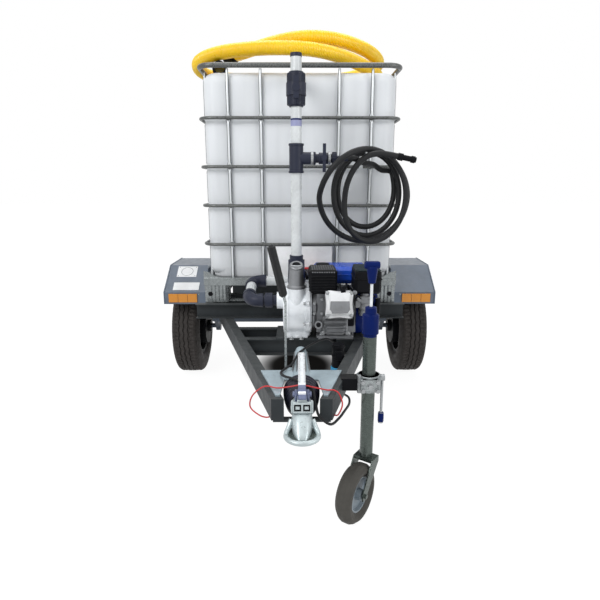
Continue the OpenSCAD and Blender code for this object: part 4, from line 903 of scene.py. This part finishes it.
class BOWSER_OT_pallet(Operator):
    """Shape the fluted pallet feet, black discs of painted shade for their holes, and the raised tray corners"""

    bl_idname = "bowser.pallet"
    bl_label = "Pallet"

    def execute(self, context):
        feet, holes, rim = Shape(), Shape(), Shape()
        for x, y in product((-437, 437), (63, 600, 1137)):
            plate(feet, self.fluted(), 90, at(x, y, 610))
        feet.make("pallet_feet_fluted", "foot", sharp=50, stands_for="pallet_feet")
        upended = Matrix.Rotation(math.pi / 2, 3, "X")
        for side in (-1, 1):
            # Black discs on the feet stand for the holes as painted shade
            turned(holes, at(side * 468.5, 1, 655), -Y_AXIS, [(12, 0), (12, 1.2), (10, 1.4)], 20)
            corner = [(0, 0), (0, 40), (-26 * side, 34), (-70 * side, 8), (-78 * side, 0)]
            for y, thickness in ((0, -3), (1200, 3)):
                plate(rim, corner[::-side], thickness, at(side * 500, y, 736), upended)
            swept(rim, [at(side * x, 1.5, 738) for x in (50, 250, 498)[::side]], 0.0035, 8)
        holes.make("pallet_foot_holes_painted_shade", "black_paint")
        rim.make("tray_corners", "foot")
        return {"FINISHED"}

    def fluted(self):
        """Outline of a foot with upright flutes."""
        half, radius, steps, outline = 63.0, 24.0, 144, []
        straight = 2 * (half - radius)
        quarter = straight + math.pi / 2 * radius
        for i in range(steps):
            turn, s = divmod(4 * quarter * i / steps, quarter)
            if s < straight:
                p, n = Vector((half, -straight / 2 + s)), Vector((1, 0))
            else:
                a = (s - straight) / radius
                n = Vector((math.cos(a), math.sin(a)))
                p = Vector((half - radius, half - radius)) + n * radius
            p -= n * 1.6 * (1 + math.cos(2 * math.pi * i / 6))
            c, t = math.cos(turn * math.pi / 2), math.sin(turn * math.pi / 2)
            outline.append((p.x * c - p.y * t, p.x * t + p.y * c))
        return outline


# Number of folds in the bellows
BELLOWS_FOLDS = 6


class BOWSER_OT_bellows(Operator):
    """Shape the rubber bellows"""

    bl_idname = "bowser.bellows"
    bl_label = "Bellows"

    def execute(self, context):
        shape, root = Shape(), on_drawbar(-880)
        profile = [(36, 0.2), (52, 0.4)]
        for i in range(1, 48):
            t = i / 48
            fold = 0.5 + 0.5 * math.cos(2 * math.pi * (t * BELLOWS_FOLDS + 0.5))
            profile.append((64.5 - 14 * t * t - 5.5 * (1 - fold), 1 + 118 * t))
        turned(shape, root, -Y_AXIS, profile + [(42, 119.4), (36, 119.8)], 48)
        piece = shape.make("bellows_folds", "bellows", sharp=70, stands_for="bellows")
        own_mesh(piece)
        return {"FINISHED"}


# Outline of a mudguard, along the trailer and up
MUDGUARD = ((300, 528), (300, 598), (490, 728), (790, 728), (980, 598), (980, 528))


class BOWSER_OT_plates(Operator):
    """Mark the blank plates on the left mudguard and dress the mudguards"""

    bl_idname = "bowser.plates"
    bl_label = "Mudguard plates"

    def execute(self, context):
        ring, bolts, edge = Shape(), Shape(), Shape()
        slope = Matrix.Rotation(math.atan2(130, 190), 3, "X")
        out = slope @ Z_AXIS

        def on_plate(x, y, z):
            return at(-683, 300, 598) + slope @ Vector((x, 172 + y, z)) * MM

        turned(ring, on_plate(0, 0, 2.2), out, [(33, 0), (36, 0), (36, 0.5), (33, 0.5), (33, 0)], 48, "none")
        for x, y in product((-50, 50), (-37, 37)):
            turned(ring, on_plate(x, y, 2.1), out, [(3, 0), (3, 0.8), (2, 1)], 12)
        ring.make("plate_ring", "steel")
        for side in (-1, 1):
            bolts_at(bolts, (0, -0.4, 1), 10, 5, (side * 556, 330, 619.02), (side * 556, 480, 721.62))
            bolts_at(bolts, Z_AXIS, 10, 5, (side * 556, 800, 721.62), (side * 556, 950, 619.02))
            for x in (590, 660, 740):
                turned(bolts, at(side * x, 299.6, 585), -Y_AXIS, [(5, 0), (5, 1.5), (3, 3)], 14)
            swept(edge, [at(side * 795, y, z) for y, z in MUDGUARD], 0.004, 8)
        bolts.make("mudguard_bolts", "zinc")
        edge.make("mudguard_bead", "guard")
        return {"FINISHED"}


def ribs_round(shape, centre, axis, radius, count, size, chamfer):
    """Small ribs round an axis; size is depth, width and length."""
    for out in around(axis, count):
        spin = Matrix((out, axis.cross(out), axis)).transposed()
        block(shape, centre + out * radius * MM, size, chamfer, spin)


class BOWSER_OT_pipework(Operator):
    """Rings, ribs and bands on the rigid pipework"""

    bl_idname = "bowser.pipework"
    bl_label = "Pipework"

    def execute(self, context):
        dark, pale, band = Shape(), Shape(), Shape()
        for z in (1564, 1652):
            ribs_round(dark, on_riser(z), Z_AXIS, 38, 22, (3.4, 4.5, 36), 1.2)
        for x in (58, 150):
            ribs_round(dark, on_branch(x), X_AXIS, 26, 16, (3.4, 4.5, 18), 1.2)
        for z in (1261, 1377):
            turned(dark, on_riser(z), Z_AXIS, [(31, 0), (34, 1), (34, 9), (31, 10)])
        turned(dark, on_riser(877), Z_AXIS, [(29, 0), (31, 1), (31, 14), (29, 16.8)])
        for x in (46, 122):
            turned(pale, on_branch(x), X_AXIS, [(27, 0), (29, 1), (29, 11), (27, 12)])
        for finish, (z, tall) in enumerate(((1458, 24.6), (1483, 7))):
            band.paint = finish
            turned(band, on_riser(z), Z_AXIS, [(24.1, 0), (24.5, 0.4), (24.5, tall - 0.4), (24.1, tall)])
        dark.make("pipe_fitting_ribs", "dark_pipe")
        pale.make("branch_rings", "steel")
        band.make("riser_band", "lavender navy")
        return {"FINISHED"}


class BOWSER_OT_pump(Operator):
    """Flange, lugs, bolts and filler neck of the pump"""

    bl_idname = "bowser.pump"
    bl_label = "Pump"

    def execute(self, context):
        flange, bolts, neck, hole = Shape(), Shape(), Shape(), Shape()
        turned(flange, on_shaft(20), X_AXIS, [(111, 0), (118, 2), (118, 22), (111, 24)], 64)
        for k in range(8):
            a = math.radians(22.5 + 45 * k)
            out = Vector((0, math.cos(a), math.sin(a)))
            spin = Matrix((X_AXIS, out, X_AXIS.cross(out))).transposed()
            block(flange, on_shaft(32) + out * 0.119, (24, 20, 22), 6, spin)
            bolt(bolts, on_shaft(20) + out * 0.121, -X_AXIS, 11, 7)
            bolt(bolts, on_shaft(-62) + out * 0.111, -X_AXIS, 9, 5)
        turned(neck, at(-18, -406, 772), Z_AXIS, [(41, 0), (41, 8), (36, 14), (33, 40), (30, 80), (28.5, 101)], 40)
        lean, mouth = Vector((0, -0.5, 0.866)), at(-18, -410, 868)
        turned(neck, mouth, lean, [(27, -8), (29.5, 0), (29.5, 6), (26, 9)], 40)
        neck.make("pump_filler_neck", "alloy")
        # A black disc in the mouth of the neck is painted shade for the opening
        turned(hole, mouth + lean * 0.0092, lean, [(18, 0), (17, 0.8)])
        bolts_at(bolts, Z_AXIS, 15, 9, *product((-40, 4), (-420, -260), (541.5,)))
        swept(flange, [at(-60, -455 + 4 * i, 655 + 3 * i) for i in range(4)], 0.009)
        flange.make("pump_flange", "pump")
        bolts.make("pump_bolts", "steel")
        hole.make("filler_opening_painted_shade", "black")
        return {"FINISHED"}


COVER_LEAN = math.radians(18)
COVER_UP = Vector((0, math.sin(COVER_LEAN), math.cos(COVER_LEAN)))
COVER_OUT = Vector((0, -math.cos(COVER_LEAN), math.sin(COVER_LEAN)))
PERFORATION = [(2.9, 0), (2.6, 0.9)]
FUEL_SEAM = [(-128, -60), (-104, -81), (104, -81), (128, -60), (128, 60), (104, 81), (-104, 81), (-128, 60)]


def on_cover(x, up, out):
    """Point on the rocker cover's face, in millimetres from its middle."""
    return on_shaft(160) + (X_AXIS * x + COVER_UP * up + COVER_OUT * (190.3 + out)) * MM


class BOWSER_OT_engine(Operator):
    """Covers, guards, pipes and screws of the engine"""

    bl_idname = "bowser.engine"
    bl_label = "Engine"

    def execute(self, context):
        self.cover()
        self.exhaust()
        self.fuel()
        self.filter_and_carburettor()
        self.crankcase()
        return {"FINISHED"}

    def cover(self):
        shape, panel, screws = Shape(), Shape(), Shape()
        spin = Matrix((X_AXIS, COVER_UP, COVER_OUT)).transposed()
        waist = []
        for c, s in circle(64):
            reach = 1 / max(abs(c), abs(s))
            inward = 9 * (2 - reach * reach) if reach < 1.414 else 0
            radius = min(reach * 62, 76) - inward * 0.9
            waist.append((radius * c, radius * s))
        for wide, tall, rise, thickness in ((1, 1, 0, 14), (0.78, 0.8, 2, 34), (0.7, 0.7, 3, 46)):
            plate(shape, [(x * wide, y * tall + rise) for x, y in waist], thickness, on_cover(0, 0, 0), spin)
        panel_line = [(-41, -24), (-31, -38), (31, -38), (41, -24), (38, 10), (-38, 10)]
        plate(panel, panel_line, 47, on_cover(0, 0, 0), spin)
        for x, y in product((-49, 49), (-47, 47)):
            bolt(screws, on_cover(x, y, 14), COVER_OUT, 11, 7)
        shape.make("rocker_cover_cast", "cover", stands_for="rocker_cover")
        panel.make("rocker_cover_panel", "alloy")
        screws.make("rocker_cover_bolts", "steel")

    def exhaust(self):
        shape, dots = Shape(), Shape()
        blocks(shape, (95, -412, 815, 118, 156, 98, 9), (95, -412, 762, 70, 90, 14, 2))
        blocks(shape, *((95, -491, z, 104, 5, 5, 1.5) for z in range(776, 848, 12)))
        for x in range(50, 150, 10):
            turned(dots, at(x, -489.8, 855), -Y_AXIS, PERFORATION, 10)
            for k in range(11):
                turned(dots, at(x, -474 + 11.5 * k, 863.4), Z_AXIS, PERFORATION, 10)
        shape.make("muffler_guard", "black_paint", stands_for="muffler")
        dots.make("muffler_perforation", "alloy")

    def fuel(self):
        tank, cap, strap = Shape(), Shape(), Shape()
        blocks(tank, (185, -248, 812, 252, 158, 76, 16))
        plate(tank, FUEL_SEAM, 5, at(185, -248, 812))
        tank.make("fuel_tank_shell", "tank_blue", stands_for="fuel_tank")
        turned(cap, at(104, -236, 849), Z_AXIS, [(31, 0), (33, 1), (33, 3), (29, 5)], 36)
        cap.make("fuel_cap", "black")
        blocks(strap, (210, -336, 764, 60, 14, 26, 3), (185, -248, 768, 230, 140, 12, 3))
        strap.make("fuel_tank_bracket", "steel")

    def filter_and_carburettor(self):
        case, lid, metal, pipe = Shape(), Shape(), Shape(), Shape()
        blocks(case, (280, -444, 818, 110, 150, 100, 10), (280, -444, 830, 116, 156, 5, 2))
        case.make("air_filter_case", "black", stands_for="air_filter")
        blocks(lid, (280, -444, 866, 104, 144, 14, 6))
        turned(metal, at(270, -484, 694), -Z_AXIS, [(24, 0), (24, 18), (20, 24), (8, 26), (6, 30)], 28)
        turned(metal, at(270, -484, 700), Z_AXIS, [(25, 0), (25, 6), (23, 8), (23, 30), (26, 32), (26, 40)], 28)
        turned(metal, at(246, -508, 745), -Y_AXIS, [(12, 0), (12, 10), (8, 14)], 20)
        turned(metal, at(225, -505, 775), -Y_AXIS, [(9, 0), (9, 16), (6, 18)], 16)
        blocks(metal, (272, -512, 742, 44, 12, 30, 3))
        bolts_at(metal, -Y_AXIS, 8, 5, (256, -518, 748), (288, -518, 748))
        fuel_pipe = ((206, -330, 775), (212, -420, 778), (228, -500, 770), (250, -520, 748))
        lead = ((208, -430, 768), (196, -500, 800), (184, -540, 806), (172, -532, 784))
        for points, radius in ((fuel_pipe, 0.0045), (lead, 0.005)):
            swept(pipe, curve_through(places(points), 6), radius, 10)
        turned(pipe, at(170, -520, 800), (0.3, -0.3, -1), [(8, 0), (10, 6), (10, 34), (7, 40)], 18)
        blocks(pipe, (268, -505, 776, 70, 20, 10, 3))
        lid.make("air_filter_lid", "filter_lid")
        metal.make("carburettor_screws", "alloy")
        pipe.make("ignition_lead", "black")

    def crankcase(self):
        shape, dark, bolts = Shape(), Shape(), Shape()
        blocks(
            shape, (150, -452, 622, 110, 30, 74, 8), (150, -462, 600, 84, 26, 44, 6),
            (60, -420, 690, 26, 60, 40, 6), (56, -428, 640, 20, 44, 46, 6), (150, -440, 566, 160, 46, 12, 3),
            *((150, -470, z, 96, 12, 5, 1.5) for z in (588, 606, 624, 642)),
        )
        port, aim = at(84, -448, 618), Vector((-0.25, -1, 0.2)).normalized()
        turned(shape, port, aim, [(15, 0), (15, 20), (17, 22), (17, 30), (10, 30)], 28)
        turned(dark, port + aim * 0.0296, aim, [(11, 0), (10, 1.4)], 24)
        bolts_at(bolts, -Y_AXIS, 10, 6, (60, -450, 712), (60, -450, 668), (92, -450, 668), (92, -450, 730))
        bolts_at(bolts, -Y_AXIS, 13, 8, (98, -467, 585), (202, -467, 585))
        bolts_at(bolts, Z_AXIS, 14, 9, (92, -446, 572), (210, -446, 572))
        blocks(dark, (215, -446, 640, 36, 16, 60, 4))
        for c, s in circle(14)[:7]:
            block(dark, on_shaft(322) + Vector((0, c, s)) * 0.084, (20, 8, 8), 2)
        shape.make("crankcase_castings", "alloy")
        dark.make("crankcase_covers", "black")
        bolts.make("engine_bolts", "steel")


# Place along, half width and top of the coupling's tongue and of the housing
TONGUE_ROWS = (
    (-1088, 34, 532), (-1105, 31, 525), (-1125, 28, 511), (-1145, 23, 493), (-1160, 18, 478), (-1169, 12, 467),
)
TONGUE_FOOT, LIP_RADIUS = 462, 0.0082
HOUSING_ROWS = (
    (-880, 43, 549), (-850, 42, 549), (-760, 38, 548), (-716, 36, 549), (-650, 32, 553), (-620, 30, 561),
    (-592, 27, 566),
)
HOUSING_DEPTH = 50
WING = (
    (150.3, -790), (-150.3, -790), (-85.9, -1010), (-72, -1010), (-60, -879.5), (60, -879.5), (72, -1010),
    (85.9, -1010),
)


class BOWSER_OT_coupling(Operator):
    """Rolled lip, tongue and slotted yoke of the coupling head, its lever and the ribbed housing"""

    bl_idname = "bowser.coupling"
    bl_label = "Coupling"

    def execute(self, context):
        self.head()
        self.lever()
        self.housing()
        self.handbrake()
        return {"FINISHED"}

    def head(self):
        head, well, dark, cheek = Shape(), Shape(), Shape(), Shape()
        turned(head, on_drawbar(-1092), Y_AXIS, [(29.6, 0), (29.6, 330)], 40)
        turned(head, on_drawbar(-1020), Y_AXIS, [(30, 0), (37, 1.5), (37, 18), (30, 19.5)], 40)
        arc = [math.pi + math.pi * i / 24 for i in range(25)]
        cup = [(50 * math.cos(a), -1130 + 48 * math.sin(a)) for a in arc]
        rise = ((33, -1094, 496), (41, -1105, 477), (48, -1116, 465))
        lip = [at(-x, y, z) for x, y, z in rise] + [at(x, y, 460) for x, y in cup] + places(rise[::-1])
        swept(head, lip, LIP_RADIUS, 14)
        # The well floor between lip and tongue is dark zinc as painted shade
        plate(well, cup + [(42, -1090), (-42, -1090)], 6, at(0, 0, 459))
        well.make("coupling_head_well_painted_shade", "tube", "coupling_head")
        rows = []
        for y, half, top in TONGUE_ROWS:
            row = []
            for k in range(25):
                a = math.pi * k / 24
                z = TONGUE_FOOT + (top - TONGUE_FOOT) * squared(math.sin(a), 0.6)
                row.append(at(half * squared(math.cos(a), 0.6), y, z))
            rows.append(row)
        head.skin(rows, closed=False)
        tilt = Matrix.Rotation(math.radians(-24), 3, "X")
        blocks(head, (0, -1104, 541, 62, 7, 36, 2.5), turn=tilt)
        for side in (-1, 1):
            blocks(head, (side * 30, -1092, 538, 9, 30, 42, 3), (side * 14, -1109, 542, 13, 2.2, 10, 0.6), turn=tilt)
            blocks(cheek, (side * 19, -1078, 550, 8, 27, 74, 3))
            bolts_at(cheek, X_AXIS * side, 15, 5, (side * 23.2, -1078, 575))
            # Dark sheets round the tabs are painted shade in the slots
            blocks(dark, (side * 14, -1108, 541.5, 22, 2.4, 20, 0.6), turn=tilt)
        turned(dark, at(0, -1130, 454), Z_AXIS, [(24, 0), (24, 8), (20, 14), (10, 17), (1, 18)], ends="none")
        head.make("coupling_head_casting", "coupling", "coupling_head", sharp=40, stands_for="coupling_head")
        cheek.make("coupling_head_cheeks", "blued", "coupling_head")
        dark.make("coupling_head_slots_painted_shade", "black", "coupling_head")

    def lever(self):
        ridges, foot = Shape(), Shape()
        rise = Matrix.Rotation(math.atan2(42, 214), 3, "X")
        for x in (-8.5, 8.5):
            blocks(ridges, (x, -950, 613.5, 6, 176, 8, 2), turn=rise)
        blocks(ridges, (0, -862, 628, 27, 12, 14, 4), turn=rise)
        blocks(foot, (0, -1086, 578, 28, 38, 6, 2.5), turn=Matrix.Rotation(math.radians(44), 3, "X"))
        blocks(foot, (0, -1064, 590, 25, 26, 5, 2), turn=rise)
        ridges.make("coupling_lever_ridges", "bright", "coupling_lever")
        foot.make("coupling_lever_foot", "blued", "coupling_lever")

    def housing(self):
        body, ribs, rows = Shape(), Shape(), []
        for y, half, top in HOUSING_ROWS:
            row = []
            for c, s in circle(33):
                reach = top - COUPLING_Z if s > 0 else HOUSING_DEPTH
                row.append(at(half * squared(c, 0.7), y, COUPLING_Z + reach * squared(s, 0.7)))
            rows.append(row)
        body.skin(rows, ends="last")
        for x0, x1 in ((-34, -24), (-17, -12), (17, 12), (34, 24)):
            share = 1 - abs(x0) / 130
            route = [at(x0 + (x1 - x0) * i / 6, -872 + 45 * i, 498 + share * (50 + 2.2 * i)) for i in range(7)]
            swept(ribs, route, 0.004, 8)
        turned(ribs, on_drawbar(-884), Y_AXIS, [(31, 0), (54, 1.5), (54, 10), (44, 14)], 48)
        plate(body, WING, 6, at(0, 0, 535))
        turned(body, at(-53.5, -750, 520), X_AXIS, [(6, 0), (15, 0.5), (15, 20.5), (6, 21)], 28)
        turned(body, at(-68, -750, 520), X_AXIS, [(6, 0), (8, 1), (8, 30)], 24)
        blocks(body, (0, -609, 457, 20, 14, 46, 2))
        body.make("housing_casting", "wing", sharp=40, stands_for="coupling_housing")
        ribs.make("housing_ribs", "alloy")

    def handbrake(self):
        grip = Shape()
        tilt = Matrix.Rotation(math.radians(-13.5), 3, "Y")
        block(grip, at(-58, -750, 788) + tilt @ Vector((0, 0, 0.122)), (29, 43, 196), 9, tilt)
        grip.make("handbrake_grip", "rubber", "handbrake_lever")


JOCKEY_CUP = [(24, 0), (24, 12), (29.5, 12.5), (29.5, 78), (28, 81), (21, 85), (20, 106), (12, 109)]


class BOWSER_OT_jockey(Operator):
    """Clamp ring and bolts, head cup, bright rod, knob and grip of the jockey wheel"""

    bl_idname = "bowser.jockey"
    bl_label = "Jockey wheel"

    def execute(self, context):
        clamp, bolts, grip = Shape(), Shape(), Shape()
        for z in (490, 542):
            turned(clamp, on_jockey(z), Z_AXIS, [(38, 0), (40, 1.5), (40, 6.5), (38, 8)], 40)
        for side in (-1, 1):
            blocks(clamp, (242 + side * 36, -850, 520, 12, 34, 58, 3), (242 + side * 30, -886, 520, 10, 26, 52, 3))
        blocks(clamp, (242, -892, 520, 56, 8, 44, 3))
        bolts_at(bolts, -Y_AXIS, 13, 8, *product((216, 268), (-897,), (504, 536)))
        bolts_at(bolts, -Y_AXIS, 16, 9, (242, -896, 520))
        blocks(bolts, (206, -870, 520, 14, 14, 70, 3))
        clamp.make("clamp_ring", "zinc")
        bolts.make("clamp_bolts", "steel")
        turned(grip, at(291.3, -850, 401), -Z_AXIS, [(6, 0), (10.4, 2), (11, 14), (11, 34), (9, 40), (3, 41.6)], 24)
        grip.make("clamp_handle_grip", "navy", "clamp_handle")
        head, rod, knob = Shape(), Shape(), Shape()
        turned(head, on_jockey(690), Z_AXIS, JOCKEY_CUP, 40)
        head.make("jockey_head_cup", "navy", "jockey_tube", stands_for="jockey_head")
        turned(rod, on_jockey(700), Z_AXIS, [(4.6, 0), (5.2, 1), (5.2, 187), (4.6, 188)], 24)
        rod.make("jockey_bright_rod", "bright", "jockey_crank", "grey_steel", stands_for="jockey_crank")
        turned(knob, on_jockey(880), Z_AXIS, [(8, 0), (13, 3), (16, 26), (20, 56), (17, 60)])
        turned(knob, at(214, -850, 944), X_AXIS, [(6, 0), (12, 2), (14, 8), (14, 46), (12, 53), (6, 55)], 28)
        knob.make("jockey_knob", "navy", "jockey_crank")
        return {"FINISHED"}


PLUG_COLLAR = [(27, 0), (29, 1.5), (29, 34), (26, 40), (16, 45), (9, 47), (8.5, 60)]


class BOWSER_OT_plug(Operator):
    """Coloured trailer plug with its ribs, and the rings of its black holder"""

    bl_idname = "bowser.plug"
    bl_label = "Trailer plug"

    def execute(self, context):
        collar, holder = Shape(), Shape()
        turned(collar, on_plug(484.8), -Z_AXIS, PLUG_COLLAR, 36)
        ribs_round(collar, on_plug(468), Z_AXIS, 28.6, 24, (2.4, 3, 26), 0.8)
        collar.make("trailer_plug_collar", "cyan", stands_for="trailer_plug")
        for z in (490, 530, 566):
            turned(holder, on_plug(z), Z_AXIS, [(25.2, 0), (27, 1), (27, 7), (25.2, 8)], 36)
        blocks(holder, (152, -634, 540, 30, 12, 40, 3))
        holder.make("plug_holder_rings", "black")
        return {"FINISHED"}


# Name, place, aim, diameter and power of each lamp
LAMPS = (
    ("key", (-2.6, -3.4, 3.6), (0, 0, 0.9), 2.6, 114),
    ("fill", (3.2, -2.6, 2.2), (0, 0, 0.8), 2.4, 44),
    ("top", (0.2, 0.6, 4.6), (0, 0.2, 0.9), 3.4, 70),
)
FLOOR_REACH, FLOOR_GLOW = 30.0, 0.945
SURROUND_TINT, SURROUND_LIGHT = (0.96, 0.98, 1.0, 1), 0.48


class BOWSER_OT_stage(Operator):
    """Pale floor, white surround and soft studio lamps"""

    bl_idname = "bowser.stage"
    bl_label = "Stage"

    def execute(self, context):
        mesh = bpy.data.meshes.new("floor")
        mesh.from_pydata([(x * FLOOR_REACH, y * FLOOR_REACH, 0) for x, y in SQUARE], [], [(0, 1, 2, 3)])
        floor = bpy.data.objects.new("floor", mesh)
        mesh.materials.append(self.floor_finish())
        context.collection.objects.link(floor)
        self.surround(context.scene)
        for row in LAMPS:
            self.lamp(*row)
        context.scene.view_settings.view_transform = "Standard"
        return {"FINISHED"}

    def by_ray(self, tree, lighting, shown, output):
        """One shader for the light it gives, another for what is seen, straight or in a reflection."""
        path = add_node(tree, "ShaderNodeLightPath").outputs
        seen = path["Is Camera Ray"]
        for ray in ("Is Glossy Ray", "Is Transmission Ray"):
            seen = add_node(tree, "ShaderNodeMath", {0: seen, 1: path[ray]}, operation="MAXIMUM").outputs["Value"]
        mixed = add_node(tree, "ShaderNodeMixShader", {"Fac": seen, 1: lighting, 2: shown})
        add_node(tree, output, {"Surface": mixed.outputs[0]})

    def painted_shadow_under_axle(self, tree):
        """1 on the floor under the axle, where a painted shadow darkens the floor, fading to 0 around it."""
        place = add_node(tree, "ShaderNodeTexCoord").outputs["Object"]
        oval = add_node(
            tree, "ShaderNodeMapping", {"Vector": place, "Location": (0, 0.62, 0), "Scale": (0.34, 0.42, 1)},
            vector_type="TEXTURE",
        )
        reach = add_node(tree, "ShaderNodeVectorMath", {0: oval.outputs["Vector"]}, operation="LENGTH")
        return add_node(
            tree, "ShaderNodeMapRange",
            {"Value": reach.outputs["Value"], "From Min": 0.5, "From Max": 1.2, "To Min": 1.0, "To Max": 0.0},
            interpolation_type="SMOOTHSTEP",
        ).outputs["Result"]

    def floor_finish(self):
        material = bpy.data.materials.new("pale_floor")
        material.use_nodes = True
        tree = material.node_tree
        tree.nodes.clear()

        def diffuse(*tint):
            return add_node(tree, "ShaderNodeBsdfDiffuse", {"Color": (*tint, 1)}).outputs[0]

        glow = add_node(tree, "ShaderNodeEmission", {"Strength": FLOOR_GLOW}).outputs[0]
        pale = add_node(tree, "ShaderNodeAddShader", {0: diffuse(0.14, 0.14, 0.14), 1: glow}).outputs[0]
        # Near-black floor colour under the axle: a painted shadow
        deep = diffuse(0.03, 0.028, 0.026)
        shown = add_node(tree, "ShaderNodeMixShader", {"Fac": self.painted_shadow_under_axle(tree), 1: pale, 2: deep}).outputs[0]
        self.by_ray(tree, diffuse(0.8, 0.8, 0.8), shown, "ShaderNodeOutputMaterial")
        return material

    def surround(self, scene):
        scene.world = bpy.data.worlds.new("surround")
        scene.world.use_nodes = True
        tree = scene.world.node_tree
        tree.nodes.clear()
        light, white = (
            add_node(tree, "ShaderNodeBackground", {"Color": tint, "Strength": strength}).outputs[0]
            for tint, strength in ((SURROUND_TINT, SURROUND_LIGHT), ((1, 1, 1, 1), 1.0))
        )
        self.by_ray(tree, light, white, "ShaderNodeOutputWorld")

    def lamp(self, name, place, target, size, power):
        light = bpy.data.lights.new(name, "AREA")
        light.shape = "DISK"
        light.size = size
        light.energy = power
        lamp = bpy.data.objects.new(name, light)
        lamp.location = place
        lamp.rotation_euler = (Vector(target) - Vector(place)).to_track_quat("-Z", "Y").to_euler()
        bpy.context.collection.objects.link(lamp)


STEPS = (
    BOWSER_OT_camera,
    BOWSER_OT_finishes,
    BOWSER_OT_hoses,
    BOWSER_OT_cables,
    BOWSER_OT_tyres,
    BOWSER_OT_cage,
    BOWSER_OT_pallet,
    BOWSER_OT_bellows,
    BOWSER_OT_plates,
    BOWSER_OT_pipework,
    BOWSER_OT_pump,
    BOWSER_OT_engine,
    BOWSER_OT_coupling,
    BOWSER_OT_jockey,
    BOWSER_OT_plug,
    BOWSER_OT_stage,
)


class BOWSER_PT_panel(Panel):
    """Steps and settings of the bowser's looks"""

    bl_label = "Bowser"
    bl_idname = "BOWSER_PT_panel"
    bl_space_type = "VIEW_3D"
    bl_region_type = "UI"
    bl_category = "Bowser"

    def draw(self, context):
        for step in STEPS:
            self.layout.operator(step.bl_idname)
        for group in (context.scene.bowser_sizes, context.scene.bowser_colours):
            for name in group.__annotations__:
                self.layout.prop(group, name)


CLASSES = (BowserColours, BowserSizes, *STEPS, BOWSER_PT_panel)


def register():
    for cls in CLASSES:
        bpy.utils.register_class(cls)
    bpy.types.Scene.bowser_colours = PointerProperty(type=BowserColours)
    bpy.types.Scene.bowser_sizes = PointerProperty(type=BowserSizes)


def unregister():
    del bpy.types.Scene.bowser_sizes
    del bpy.types.Scene.bowser_colours
    for cls in reversed(CLASSES):
        bpy.utils.unregister_class(cls)


def main():
    register()
    for step in STEPS:
        group, name = step.bl_idname.split(".")
        getattr(getattr(bpy.ops, group), name)()


if __name__ == "__main__":
    main()
